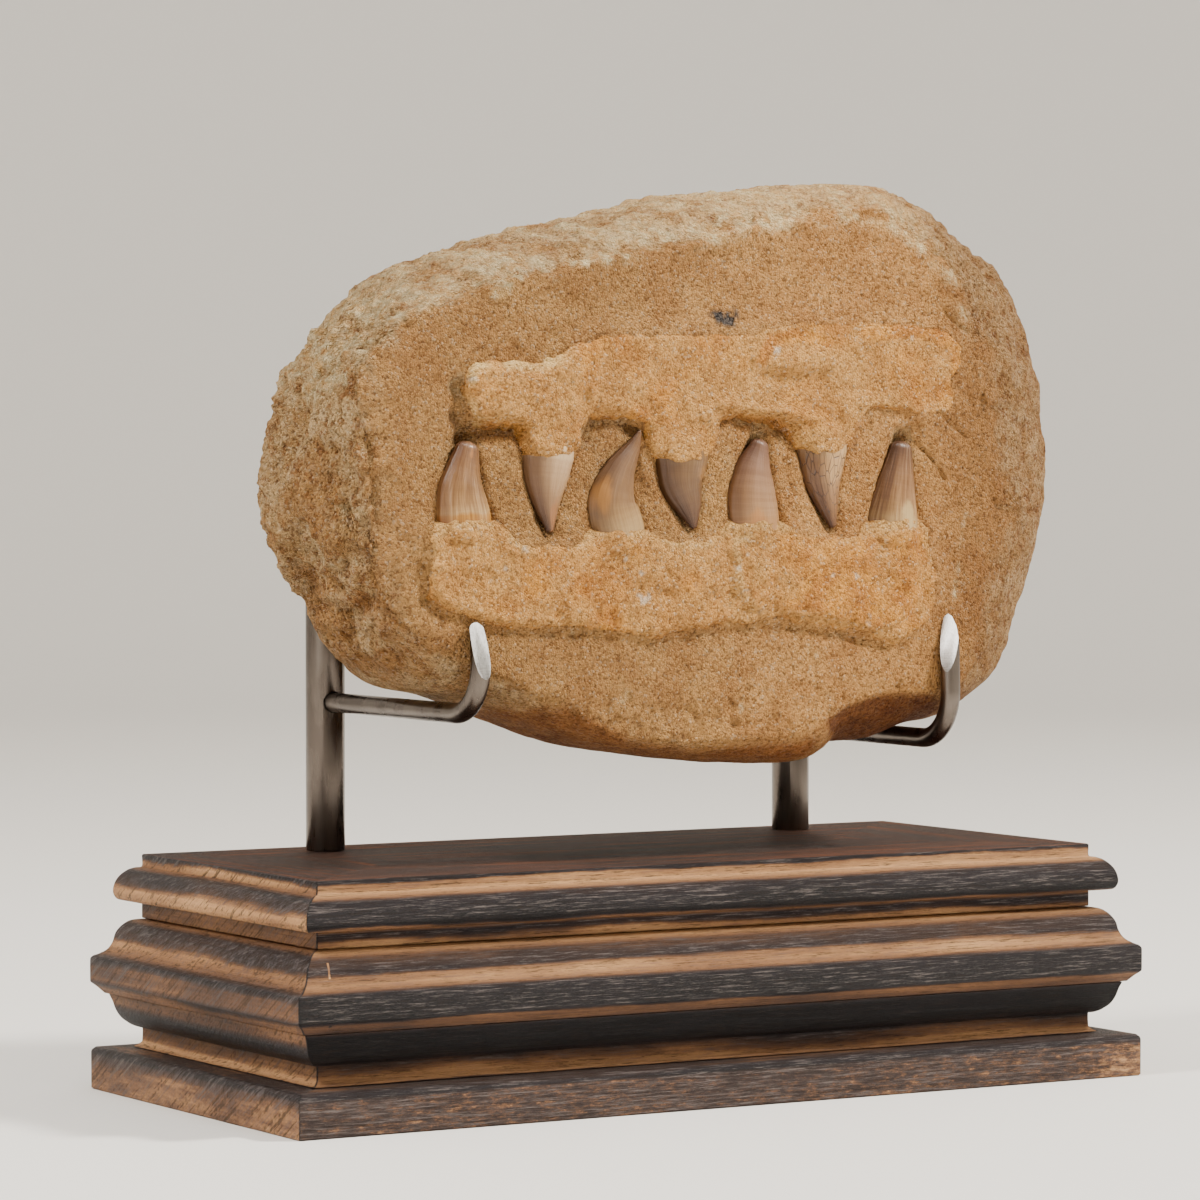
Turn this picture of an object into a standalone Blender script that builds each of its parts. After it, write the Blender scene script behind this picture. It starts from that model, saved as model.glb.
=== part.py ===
# Mosasaur jaw in a sandstone slab, carried by two steel hooks over a moulded wooden plinth.
# Metres, +Z up. The origin is the middle of the plinth's underside, +X runs along its long side
# to the right as seen from the front, and the front faces -Y.

import math

import bmesh
import bpy
from mathutils import Matrix, Vector

MM = 0.001

# Clearance left between neighbouring pieces.
GAP = 0.3 * MM

# Plinth: the flat field on top, and the edge of each board from the foot up, as pairs of the
# distance outside the field and the height, in millimetres.
FIELD_LENGTH = 272 * MM
FIELD_DEPTH = 115 * MM
FIELD_TOP = 72.2 * MM
FOOT_EDGE = [(11.2, 0), (11.7, 0.5), (11.7, 11.4), (11.0, 12.6), (9.6, 13.1)]
LOWER_EDGE = [
    (2.2, 13.4), (0.9, 14.2), (0.0, 15.6), (0.0, 19.3), (2.6, 20.2), (4.7, 22.0), (6.0, 24.4),
    (6.8, 27.2), (7.6, 29.2),
]
MIDDLE_EDGE = [
    (8.6, 29.5), (10.3, 31.4), (11.6, 32.6), (11.9, 33.6), (11.9, 39.2), (11.2, 40.8), (9.4, 41.7),
    (7.8, 43.1), (6.7, 45.3), (6.2, 47.6), (5.4, 49.3), (4.1, 50.9), (2.4, 52.0), (0.6, 52.4),
]
NECK_EDGE = [(0.0, 52.7), (0.0, 57.5)]
TOP_EDGE = [
    (3.4, 57.8), (5.6, 58.3), (6.5, 59.9), (6.6, 61.4), (6.1, 63.6), (5.1, 65.5), (3.4, 67.2),
    (1.4, 68.1), (0.0, 68.5), (0.0, 71.8), (-0.4, 72.2),
]

# Posts and hooks.
POST_RADIUS = 6 * MM
POST_TOP = 205 * MM
POST_Y = 40 * MM
LEFT_X = -82 * MM
RIGHT_X = 88 * MM
ROD_RADIUS = 3 * MM
HOLE_RADIUS = ROD_RADIUS + GAP
BEND_RADIUS = 15 * MM
LEFT_ROD_Z = 118 * MM
RIGHT_ROD_Z = 105.7 * MM
LEFT_HOOK_Y = -57 * MM
RIGHT_HOOK_Y = -50.6 * MM
HOOK_TIP_Z = 145.5 * MM
PRONG_LEAN = 0.7 * MM
GROUND_LENGTH = 21 * MM
QUARTER_CIRCLE_PULL = 0.5523

# The dressed face of the stone is a plane, turned a little about Z and leaning a little back.
FACE_Y = -50.3 * MM
FACE_TURN = 0.038
FACE_LEAN = 0.035
FACE_FOOT_Z = 127 * MM
BACK_Y = 33 * MM
STONE_CENTRE = (8 * MM, 190 * MM)

# Outline of the dressed face in millimetres, x and z, clockwise from the middle of the left end.
FACE_EDGE = [
    (-114, 182), (-115, 198), (-119, 212), (-114, 223), (-99, 233), (-82, 238), (-60, 244),
    (-36, 251), (-10, 255), (14, 261), (40, 265), (66, 266), (82, 258), (92, 250),
    (97, 238), (102, 222), (108, 200), (109, 180), (106, 160), (102, 142), (95, 127),
    (84, 120), (71, 119.5), (62, 119.5), (56, 118), (52, 115), (47, 112), (38, 110),
    (15, 108), (-10, 108), (-33, 111), (-50, 119), (-67, 127), (-85, 135), (-102, 143),
    (-112, 155), (-115, 168),
]

# Outline of the stone where it is widest, anchor for anchor with the face.
WIDE_EDGE = [
    (-125, 183), (-124, 199), (-120, 213), (-112, 226), (-99, 239), (-86, 248), (-64, 256),
    (-38, 262.5), (-10, 269), (14, 273), (42, 276.5), (70, 278.5), (90, 275), (107, 264.5),
    (127, 252), (140, 235), (146, 207), (145.5, 180), (141, 161), (133, 142), (124, 125.5),
    (106, 113), (84, 109.5), (66, 109.5), (60, 108.5), (57.8, 102.5), (53, 99.6), (44, 98.5),
    (20, 99.5), (-10, 102.5), (-34, 107), (-56, 114.5), (-76, 121.8), (-92, 125.5),
    (-104, 137), (-115, 153), (-123, 168),
]

# Sections through the stone from front to back: how far the outline has grown from the face
# to the widest one, its scale about the centre, and its depth between face and back.
STONE_SECTIONS = [
    (0.0, 0.20, 0.0), (0.0, 0.40, 0.0), (0.0, 0.60, 0.0), (0.0, 0.80, 0.0), (0.0, 1.0, 0.0),
    (0.40, 1.0, 0.055), (0.72, 1.0, 0.14), (0.93, 1.0, 0.26), (1.0, 1.0, 0.38), (1.0, 1.0, 0.52),
    (1.0, 0.98, 0.66), (1.0, 0.935, 0.80), (1.0, 0.87, 0.90), (1.0, 0.78, 0.97),
    (1.0, 0.66, 1.0), (1.0, 0.45, 1.0), (1.0, 0.22, 1.0),
]
STONE_ROUGHNESS = 1.8 * MM
STONE_LUMP_SIZE = 28 * MM
DRESSED_SHARE = 0.18
STEEL_HALF_WIDTH = 12 * MM
STEEL_REACH_Z = 150 * MM

# Bones: outlines in millimetres on the face, how far they stand proud and how deep they go in.
UPPER_JAW = [
    (-82.5, 213), (-79, 220), (-57, 221), (-39, 228), (-11, 229.5), (13, 229), (28, 232.5),
    (62, 233.5), (86, 233), (95, 228), (96, 222), (92, 217), (93, 210), (87, 206), (76, 207.5),
    (63, 208), (56.5, 203), (52.5, 195.8), (34, 196), (31, 203), (13, 206), (6, 204),
    (1.5, 194), (-18, 193.5), (-21, 203), (-34, 206), (-42, 203), (-45, 195.5), (-62.5, 194),
    (-64.5, 202), (-79, 204),
]
LOWER_JAW = [
    (-97.5, 162), (-95, 175), (-74, 175), (-68, 172), (-50, 171.5), (-44, 173), (-23, 173.5),
    (-16, 171), (-2, 171), (7, 175.5), (27, 175.5), (34, 171), (51, 171), (59, 175),
    (79, 175), (81.5, 168), (82.5, 156), (81.5, 145), (75, 140), (60, 136), (42, 140),
    (25, 144), (9, 144), (-8, 141.5), (-22, 139), (-41, 141), (-60, 142.5), (-71, 145.5),
    (-80, 148), (-91, 149),
]
LOWER_JAW_STEP = [
    (9, 170), (26, 171), (60, 170), (76, 170), (79, 157), (78, 147), (72, 142.5), (60, 139.5),
    (42, 143.5), (25, 147.5), (13, 148), (10, 158),
]
BONE_PROUD = 3.2 * MM
BONE_DEPTH = 7 * MM
BONE_ROUNDING = 1.4 * MM
STEP_PROUD = 4.4 * MM
POCKET_PROUD = 12 * MM

# Crowns: centre line in millimetres (x, z) from base to point with the half width at each place.
TOOTH_FLATTENING = 0.72
TOOTH_HALF_WIDTH = 9 * MM
TOOTH_AXIS_DEPTH = 2.4 * MM
TOOTH_ROOM = 0.4 * MM
LOWER_TEETH = {
    "lower_tooth_1": [(-83.1, 176.5, 9.1), (-84, 184, 7.8), (-84, 191, 5.7), (-82.8, 197.3, 4.1)],
    "lower_tooth_2": [(-32.8, 174.5, 9.5), (-34, 181, 8.7), (-31.2, 189, 5.6), (-26.6, 196, 2.7),
                      (-24.4, 200.3, 0.8)],
    "lower_tooth_3": [(17.2, 176.8, 9.6), (17, 183, 8.8), (18.2, 190.5, 6.6), (20.2, 198, 3.5)],
    "lower_tooth_4": [(69.1, 176.3, 9.4), (70.2, 183, 7.6), (71.5, 190, 5.6), (73, 197.6, 3.6)],
}
UPPER_TEETH = {
    "upper_tooth_1": [(-55.8, 192.6, 8.7), (-56.8, 186, 7.2), (-57.4, 179, 4.8), (-57.4, 172, 1.5)],
    "upper_tooth_2": [(-8.1, 191.8, 9.1), (-8, 185, 7.5), (-6.2, 178, 4.6), (-5.4, 172, 1.4)],
    "upper_tooth_3": [(43.2, 194.2, 8.7), (43, 186.5, 6.8), (44.2, 179, 4.2), (45.8, 172, 1.4)],
}

# Hollows left by the preparation tool: centre (x, z), half sizes along x, z and into the stone.
HOLLOWS = [
    (-86, 207, 6, 9, 5.5), (-72, 200, 8, 4, 5.0), (-32, 202, 8, 4.5, 4.5), (20, 202, 12, 4.5, 4.5),
    (-100, 160, 5, 17, 3.5), (-60, 139, 30, 4.5, 3.0), (20, 139, 34, 4.5, 3.0),
    (66, 133, 16, 4.5, 3.2), (86, 200, 8, 4, 2.2),
]

for old in list(bpy.data.objects):
    bpy.data.objects.remove(old, do_unlink=True)

parts = bpy.data.collections.new("fossil_mosasaur_jaw")
tools = bpy.data.collections.new("cutters")
bpy.context.scene.collection.children.link(parts)
bpy.context.scene.collection.children.link(tools)


def material(name, colour, roughness, metallic=0.0):
    """A plain material in the piece's own colour."""
    made = bpy.data.materials.new(name)
    made.use_nodes = True
    surface = made.node_tree.nodes["Principled BSDF"]
    surface.inputs["Base Color"].default_value = (*colour, 1.0)
    surface.inputs["Roughness"].default_value = roughness
    surface.inputs["Metallic"].default_value = metallic
    return made


def add_object(name, mesh, surface):
    """Put a finished mesh among the parts under its own material."""
    mesh.name = name
    obj = bpy.data.objects.new(name, mesh)
    parts.objects.link(obj)
    mesh.materials.clear()
    mesh.materials.append(surface)
    return obj


def add_cutter(name, mesh):
    """Keep a cutting shape apart from the parts, out of the render."""
    obj = bpy.data.objects.new(name, mesh)
    tools.objects.link(obj)
    obj.hide_render = True
    obj.display_type = "WIRE"
    return obj


def apply_modifiers(obj):
    """Turn the modified shape into the object's own mesh."""
    bpy.context.view_layer.update()
    shape = bpy.data.meshes.new_from_object(obj.evaluated_get(bpy.context.evaluated_depsgraph_get()))
    old = obj.data
    obj.modifiers.clear()
    obj.data = shape
    shape.name = obj.name
    bpy.data.meshes.remove(old)


def combine(obj, cutters, operation="DIFFERENCE"):
    """Cut the given shapes out of the object, or join them to it."""
    for cutter in cutters:
        step = obj.modifiers.new(cutter.name, "BOOLEAN")
        step.operation = operation
        step.solver = "EXACT"
        step.object = cutter
    apply_modifiers(obj)


def from_curve(curve, turn=None):
    """Turn a curve into a closed mesh."""
    carrier = bpy.data.objects.new("carrier", curve)
    bpy.context.scene.collection.objects.link(carrier)
    bpy.context.view_layer.update()
    shape = bpy.data.meshes.new_from_object(carrier.evaluated_get(bpy.context.evaluated_depsgraph_get()))
    bpy.data.objects.remove(carrier, do_unlink=True)
    bpy.data.curves.remove(curve)
    welded = bmesh.new()
    welded.from_mesh(shape)
    bmesh.ops.remove_doubles(welded, verts=welded.verts, dist=0.01 * MM)
    bmesh.ops.recalc_face_normals(welded, faces=welded.faces)
    welded.to_mesh(shape)
    welded.free()
    if turn is not None:
        shape.transform(turn)
    return shape


def smooth_spline(curve, points):
    """Add a closed spline that runs smoothly through points given in millimetres."""
    spline = curve.splines.new("BEZIER")
    spline.bezier_points.add(len(points) - 1)
    for knot, (x, z) in zip(spline.bezier_points, points):
        knot.co = (x * MM, z * MM, 0)
        knot.handle_left_type = "AUTO"
        knot.handle_right_type = "AUTO"
    spline.use_cyclic_u = True
    return spline


def smooth_loop(points, steps):
    """Corner positions along the smooth closed curve through the given points."""
    curve = bpy.data.curves.new("loop", "CURVE")
    curve.dimensions = "3D"
    curve.resolution_u = steps
    smooth_spline(curve, points)
    shape = from_curve(curve)
    places = [(corner.co.x, corner.co.y) for corner in shape.vertices]
    bpy.data.meshes.remove(shape)
    return places


def face_y(x, z):
    """Depth of the dressed face at a place on it."""
    return FACE_Y + FACE_TURN * x + FACE_LEAN * (z - FACE_FOOT_Z)


# Stands a flat drawing up and lays it on the dressed face: x stays, the drawing's y becomes
# height, and its z becomes distance in front of the face.
ON_FACE = Matrix((
    (1, 0, 0, 0),
    (FACE_TURN, FACE_LEAN, -1, FACE_Y - FACE_LEAN * FACE_FOOT_Z),
    (0, 1, 0, 0),
    (0, 0, 0, 1),
))


def slab(points, back, front, rounding, grow=0.0):
    """A plate with the given outline, from a depth behind the face to a height in front of it."""
    curve = bpy.data.curves.new("outline", "CURVE")
    curve.dimensions = "2D"
    curve.fill_mode = "BOTH"
    curve.resolution_u = 2
    curve.extrude = (front + back) / 2 - rounding
    curve.bevel_depth = rounding
    curve.bevel_resolution = 0
    curve.offset = grow - rounding
    smooth_spline(curve, points)
    return from_curve(curve, ON_FACE @ Matrix.Translation((0, 0, (front - back) / 2)))


def crown(line, grow=0.0):
    """A tapering round tooth along its centre line, flattened front to back."""
    curve = bpy.data.curves.new("crown", "CURVE")
    curve.dimensions = "3D"
    curve.resolution_u = 3
    curve.bevel_depth = MM
    curve.bevel_resolution = 2
    curve.use_fill_caps = True
    spline = curve.splines.new("BEZIER")
    spline.bezier_points.add(len(line) - 1)
    first = Vector(line[1][:2]) - Vector(line[0][:2])
    last = Vector(line[-1][:2]) - Vector(line[-2][:2])
    extra = grow / MM
    for place, (knot, (x, z, half)) in enumerate(zip(spline.bezier_points, line)):
        spot = Vector((x, z))
        if place == 0:
            spot -= first.normalized() * extra
        if place == len(line) - 1:
            spot += last.normalized() * extra * 2
        knot.co = (spot.x * MM, spot.y * MM, 0)
        knot.radius = half + extra
        knot.handle_left_type = "AUTO"
        knot.handle_right_type = "AUTO"
    flat = (TOOTH_FLATTENING * TOOTH_HALF_WIDTH + grow) / (TOOTH_HALF_WIDTH + grow)
    lay = ON_FACE @ Matrix.Translation((0, 0, -TOOTH_AXIS_DEPTH)) @ Matrix.Diagonal((1, 1, flat, 1))
    return from_curve(curve, lay)


def place_corner(corner, offset, height):
    """A rectangle's corner at an offset in millimetres outside the field and at a height."""
    x = FIELD_LENGTH / 2 + offset * MM
    y = FIELD_DEPTH / 2 + offset * MM
    return Vector((math.copysign(x, corner.x), math.copysign(y, corner.y), height * MM))


def moulded_board(name, edge):
    """A rectangular board, drawn up from its underside along the steps of its moulded edge."""
    board = bmesh.new()
    bmesh.ops.create_cube(board, size=1)
    top = max(board.faces, key=lambda face: face.calc_center_median().z)
    for corner in board.verts:
        corner.co = place_corner(corner.co, *edge[1 if corner.co.z > 0 else 0])
    for offset, height in edge[2:]:
        grown = bmesh.ops.extrude_face_region(board, geom=[top])
        bmesh.ops.delete(board, geom=[top], context="FACES_ONLY")
        top = next(item for item in grown["geom"] if isinstance(item, bmesh.types.BMFace))
        for corner in top.verts:
            corner.co = place_corner(corner.co, offset, height)
    bmesh.ops.recalc_face_normals(board, faces=board.faces)
    mesh = bpy.data.meshes.new(name)
    board.to_mesh(mesh)
    board.free()
    add_object(name, mesh, wood_surface)


def cylinder(radius, start, end, sides):
    """A closed round bar between two places."""
    bar = bmesh.new()
    line = end - start
    turn = line.to_track_quat("Z", "Y").to_matrix().to_4x4()
    bmesh.ops.create_cone(bar, cap_ends=True, segments=sides, radius1=radius, radius2=radius,
                          depth=line.length, matrix=Matrix.Translation((start + end) / 2) @ turn)
    mesh = bpy.data.meshes.new("bar")
    bar.to_mesh(mesh)
    bar.free()
    return mesh


stone_surface = material("sandstone", (0.47, 0.31, 0.15), 0.92)
bone_surface = material("bone", (0.50, 0.32, 0.14), 0.88)
enamel_surface = material("enamel", (0.34, 0.25, 0.19), 0.30)
steel_surface = material("steel", (0.52, 0.50, 0.48), 0.33, 1.0)
wood_surface = material("charred_wood", (0.13, 0.09, 0.065), 0.62)

# Plinth: five boards with moulded edges, one on the other.
moulded_board("foot_board", FOOT_EDGE)
moulded_board("lower_moulding", LOWER_EDGE)
moulded_board("middle_moulding", MIDDLE_EDGE)
moulded_board("neck_board", NECK_EDGE)
moulded_board("top_moulding", TOP_EDGE)


def post(name, x, rod_z):
    """An upright bar with a drilled hole in its front for the rod."""
    foot = Vector((x, POST_Y, FIELD_TOP + GAP))
    mesh = cylinder(POST_RADIUS, foot, Vector((x, POST_Y, POST_TOP)), 36)
    made = add_object(name, mesh, steel_surface)
    start = Vector((x, POST_Y - 2 * POST_RADIUS, rod_z))
    drill = cylinder(HOLE_RADIUS, start, Vector((x, POST_Y + GAP, rod_z)), 20)
    combine(made, [add_cutter(name + "_hole", drill)])


def hook(name, x, hook_y, rod_z):
    """A round rod that leaves the post, runs under the stone and turns up in front of its face."""
    curve = bpy.data.curves.new(name, "CURVE")
    curve.dimensions = "3D"
    curve.resolution_u = 8
    curve.bevel_depth = ROD_RADIUS
    curve.bevel_resolution = 2
    curve.use_fill_caps = True
    knots = [
        (POST_Y, rod_z), (hook_y + BEND_RADIUS, rod_z),
        (hook_y, rod_z + BEND_RADIUS), (hook_y + PRONG_LEAN, HOOK_TIP_Z),
    ]
    pull = BEND_RADIUS * QUARTER_CIRCLE_PULL
    spline = curve.splines.new("BEZIER")
    spline.bezier_points.add(len(knots) - 1)
    for knot, (y, z) in zip(spline.bezier_points, knots):
        knot.handle_left_type = "FREE"
        knot.handle_right_type = "FREE"
        knot.co = (x, y, z)
        knot.handle_left = (x, y, z)
        knot.handle_right = (x, y, z)
    into, out = spline.bezier_points[1], spline.bezier_points[2]
    into.handle_right = into.co - Vector((0, pull, 0))
    out.handle_left = out.co - Vector((0, 0, pull))
    made = add_object(name, from_curve(curve), steel_surface)

    # The front of the prong is ground to a long flat that runs out at the tip against the stone.
    low = Vector((x, hook_y - ROD_RADIUS, HOOK_TIP_Z - GROUND_LENGTH))
    high = Vector((x, hook_y + PRONG_LEAN + 0.6 * ROD_RADIUS, HOOK_TIP_Z))
    run = (high - low).normalized()
    out_of_flat = Vector((0, -run.z, run.y))
    frame = Matrix((Vector((1, 0, 0)), run, out_of_flat)).transposed().to_4x4()
    block = bmesh.new()
    side = GROUND_LENGTH
    place = Matrix.Translation((low + high) / 2 + out_of_flat * side / 2) @ frame
    bmesh.ops.create_cube(block, size=1, matrix=place @ Matrix.Diagonal((side, 3 * side, side, 1)))
    mesh = bpy.data.meshes.new(name + "_flat")
    block.to_mesh(mesh)
    block.free()
    combine(made, [add_cutter(name + "_flat", mesh)])


post("post_left", LEFT_X, LEFT_ROD_Z)
post("post_right", RIGHT_X, RIGHT_ROD_Z)
hook("hook_left", LEFT_X, LEFT_HOOK_Y, LEFT_ROD_Z)
hook("hook_right", RIGHT_X, RIGHT_HOOK_Y, RIGHT_ROD_Z)


def stone():
    """The slab: smooth outlines lofted from the dressed face over the crust to the back."""
    steps = 3
    narrow = smooth_loop(FACE_EDGE, steps)
    wide = smooth_loop(WIDE_EDGE, steps)
    centre_x, centre_z = STONE_CENTRE
    body = bmesh.new()
    rings = []
    for growth, scale, depth in STONE_SECTIONS:
        ring = []
        for (x0, z0), (x1, z1) in zip(narrow, wide):
            x = centre_x + (x0 + (x1 - x0) * growth - centre_x) * scale
            z = centre_z + (z0 + (z1 - z0) * growth - centre_z) * scale
            front = face_y(x, z)
            ring.append(body.verts.new((x, front + (BACK_Y - front) * depth, z)))
        rings.append(ring)
    for one, two in zip(rings, rings[1:]):
        for this in range(len(one)):
            after = (this + 1) % len(one)
            body.faces.new((one[this], one[after], two[after], two[this]))
    for ring, y in ((rings[0], face_y(centre_x, centre_z)), (rings[-1], BACK_Y)):
        middle = body.verts.new((centre_x, y, centre_z))
        for this in range(len(ring)):
            body.faces.new((ring[this], ring[(this + 1) % len(ring)], middle))
    bmesh.ops.recalc_face_normals(body, faces=body.faces)
    mesh = bpy.data.meshes.new("matrix")
    body.to_mesh(mesh)
    body.free()
    made = add_object("matrix", mesh, stone_surface)

    # The rough crust everywhere but on the dressed face and where the steel touches.
    crust = made.vertex_groups.new(name="crust")
    for corner in mesh.vertices:
        x, y, z = corner.co
        beside_steel = min(abs(x - LEFT_X), abs(x - RIGHT_X)) < STEEL_HALF_WIDTH and z < STEEL_REACH_Z
        dressed = y < face_y(x, z) + GAP
        leaning = y > BACK_Y - 2 * MM
        share = 0.0 if beside_steel or leaning else DRESSED_SHARE if dressed else 1.0
        crust.add([corner.index], share, "REPLACE")
    lumps = bpy.data.textures.new("lumps", "CLOUDS")
    lumps.noise_scale = STONE_LUMP_SIZE
    lumps.noise_depth = 2
    rough = made.modifiers.new("rough", "DISPLACE")
    rough.texture = lumps
    rough.texture_coords = "LOCAL"
    rough.vertex_group = "crust"
    rough.strength = STONE_ROUGHNESS
    rough.mid_level = 0.5
    apply_modifiers(made)
    return made


def face_outward(mesh):
    """Turn every face outward: a drawing laid on the stone's face comes out mirrored."""
    fixed = bmesh.new()
    fixed.from_mesh(mesh)
    bmesh.ops.recalc_face_normals(fixed, faces=fixed.faces)
    fixed.to_mesh(mesh)
    fixed.free()


def hollow(place, x, z, half_x, half_z, depth):
    """A shallow spoon-shaped cut in the face."""
    ball = bmesh.new()
    lay = ON_FACE @ Matrix.Translation((x * MM, z * MM, 0))
    size = Matrix.Diagonal((half_x * MM, half_z * MM, depth * MM, 1))
    bmesh.ops.create_icosphere(ball, subdivisions=2, radius=1, matrix=lay @ size)
    mesh = bpy.data.meshes.new("hollow")
    ball.to_mesh(mesh)
    ball.free()
    face_outward(mesh)
    return add_cutter("hollow_" + str(place), mesh)


matrix = stone()
combine(matrix, [hollow(place, *sizes) for place, sizes in enumerate(HOLLOWS)])

# Crowns, and the slightly larger shapes that make room for them in bone and stone.
rooms = []
for name, line in {**LOWER_TEETH, **UPPER_TEETH}.items():
    add_object(name, crown(line), enamel_surface)
    rooms.append(add_cutter(name + "_room", crown(line, TOOTH_ROOM)))

# Bones, each with a pocket of its own outline in the stone.
upper = add_object("upper_jaw", slab(UPPER_JAW, BONE_DEPTH, BONE_PROUD, BONE_ROUNDING), bone_surface)
lower = add_object("lower_jaw", slab(LOWER_JAW, BONE_DEPTH, BONE_PROUD, BONE_ROUNDING), bone_surface)
step = add_cutter("lower_jaw_step", slab(LOWER_JAW_STEP, BONE_DEPTH / 2, STEP_PROUD, BONE_ROUNDING))
combine(lower, [step], "UNION")
pockets = [
    add_cutter("upper_jaw_pocket", slab(UPPER_JAW, BONE_DEPTH + GAP, POCKET_PROUD, 0.0, GAP)),
    add_cutter("lower_jaw_pocket", slab(LOWER_JAW, BONE_DEPTH + GAP, POCKET_PROUD, 0.0, GAP)),
    add_cutter("step_pocket", slab(LOWER_JAW_STEP, BONE_DEPTH / 2 + GAP, POCKET_PROUD, 0.0, GAP)),
]
combine(upper, rooms)
combine(lower, rooms)
combine(matrix, pockets + rooms)
for obj in parts.objects:
    face_outward(obj.data)
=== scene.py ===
import math
from itertools import product

import bmesh
import bpy
import numpy as np
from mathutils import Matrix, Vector


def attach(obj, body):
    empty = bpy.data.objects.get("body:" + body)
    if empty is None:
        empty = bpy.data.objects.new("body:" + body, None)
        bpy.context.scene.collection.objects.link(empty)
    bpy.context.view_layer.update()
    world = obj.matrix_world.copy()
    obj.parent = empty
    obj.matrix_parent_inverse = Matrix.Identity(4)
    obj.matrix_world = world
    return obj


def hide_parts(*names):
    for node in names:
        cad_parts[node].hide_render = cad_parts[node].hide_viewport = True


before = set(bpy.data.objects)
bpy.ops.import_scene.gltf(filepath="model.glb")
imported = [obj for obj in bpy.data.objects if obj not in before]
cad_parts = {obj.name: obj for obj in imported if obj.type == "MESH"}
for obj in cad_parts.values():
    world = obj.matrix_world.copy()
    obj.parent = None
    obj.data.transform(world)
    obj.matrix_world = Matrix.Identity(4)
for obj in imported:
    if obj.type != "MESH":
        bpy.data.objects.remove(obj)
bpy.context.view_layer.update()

MM = 0.001

# The view: from the front and a little to the left, level with the upper half of the stand,
# through a long lens.
bpy.ops.object.camera_add(location=(-0.79632, -1.32183, 0.19313),
                          rotation=(math.radians(88.3594), 0, math.radians(-30.82)))
camera = bpy.context.object
camera.name = "view"
camera.data.sensor_width = 36
camera.data.lens = 150.33
bpy.context.scene.camera = camera

# The stone.
# A split cobble of desert sandstone. Its front was dressed flat and then picked away round the
# bones and teeth; the bevelled top, the ends and the back keep their weathered skin. All heights
# below are millimetres, x and z on the dressed face, measured from the middle of the plinth.
FACE_EDGE = [
    (-114, 182), (-115, 198), (-119, 212), (-114, 223), (-99, 233), (-82, 238), (-60, 244),
    (-36, 251), (-10, 255), (14, 261), (40, 265), (66, 266), (82, 258), (92, 250),
    (97, 238), (102, 222), (108, 200), (109, 180), (106, 160), (102, 142), (95, 128),
    (84, 121.5), (74, 122), (63, 121.5), (52, 118.2), (43.5, 114.4), (39, 111), (32, 109),
    (15, 108), (-10, 108), (-33, 111), (-50, 119), (-67, 127), (-85, 135), (-102, 143),
    (-112, 155), (-115, 168),
]
WIDE_EDGE = [
    (-125, 183), (-124, 199), (-120, 213), (-112, 226), (-99, 239), (-86, 248), (-64, 256),
    (-38, 262.5), (-10, 269), (14, 273), (42, 276.5), (70, 278.5), (90, 275), (107, 264.5),
    (127, 252), (140, 235), (146, 207), (145.5, 180), (141, 161), (133, 142), (124, 125.5),
    (104, 112.2), (87, 108.9), (75, 104.8), (58, 104), (53, 101), (47.5, 98.6), (38, 98.4),
    (20, 99.5), (-10, 102.5), (-34, 107), (-56, 114.5), (-76, 121.8), (-92, 125.5),
    (-104, 137), (-115, 153), (-123, 168),
]
# Outlines from the face back: growth from the one outline to the other, scale, share of the depth.
STONE_SECTIONS = [
    (0.0, 1.0, 0.0), (0.40, 1.0, 0.055), (0.72, 1.0, 0.14), (0.93, 1.0, 0.26), (1.0, 1.0, 0.38),
    (1.0, 1.0, 0.52), (1.0, 0.98, 0.66), (1.0, 0.935, 0.80), (1.0, 0.87, 0.90), (1.0, 0.78, 0.97),
    (1.0, 0.66, 1.0),
]
STONE_MIDDLE = (8, 190)
STONE_BACK = 33
# No bump rises far past the first height, and none past the sum of both.
STONE_TOP = (276.6, 1.4)
# The spacing of the first mesh, and the triangles that are kept of it.
STONE_MESH = (0.8, 194000)
UPPER_JAW = [
    (-82.5, 213), (-79, 220), (-57, 221), (-39, 228), (-11, 229.5), (13, 229), (28, 232.5),
    (62, 233.5), (86, 233), (95, 228), (96, 222), (92, 217), (93, 210), (87, 206), (76, 207.5),
    (63, 208), (56.5, 203), (52.5, 195.8), (34, 196), (31, 203), (13, 206), (6, 204),
    (1.5, 194), (-18, 193.5), (-21, 203), (-34, 206), (-42, 203), (-45, 195.5), (-62.5, 194),
    (-64.5, 202), (-79, 204),
]
LOWER_JAW = [
    (-96, 160), (-94.6, 173), (-73, 173), (-66, 167.5), (-48, 167), (-41.5, 170.2), (-21, 170.5),
    (-14, 168), (0, 168), (8, 172.5), (28, 172.5), (35, 168.5), (53, 168.5), (60, 172.5),
    (80, 172.5), (83, 166), (84.5, 156), (83.6, 145.2), (76.6, 139.2), (70, 135.9), (62.5, 137.9),
    (51.3, 140.9), (38.2, 142.3), (25.3, 143.8), (10.6, 143.1), (-0.3, 141.8), (-9.3, 140.8),
    (-20.5, 139), (-26, 140.4), (-39.5, 142.3), (-51.7, 142.8), (-64, 143.3), (-74.2, 143.8),
    (-82.7, 145.7), (-91.1, 148.7), (-95.4, 152.6),
]
JAW_STEP = [
    (8.5, 169), (26, 171), (60, 170), (76, 170), (79, 157), (78, 147), (72, 142.5), (60, 139.5),
    (42, 143.5), (25, 146), (15, 147), (9.5, 154), (8.5, 162),
]
SCOOP = [(42, 112.5), (52, 118.5), (64, 122), (77, 122), (86, 121), (95, 112), (84, 104), (56, 103)]
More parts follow.
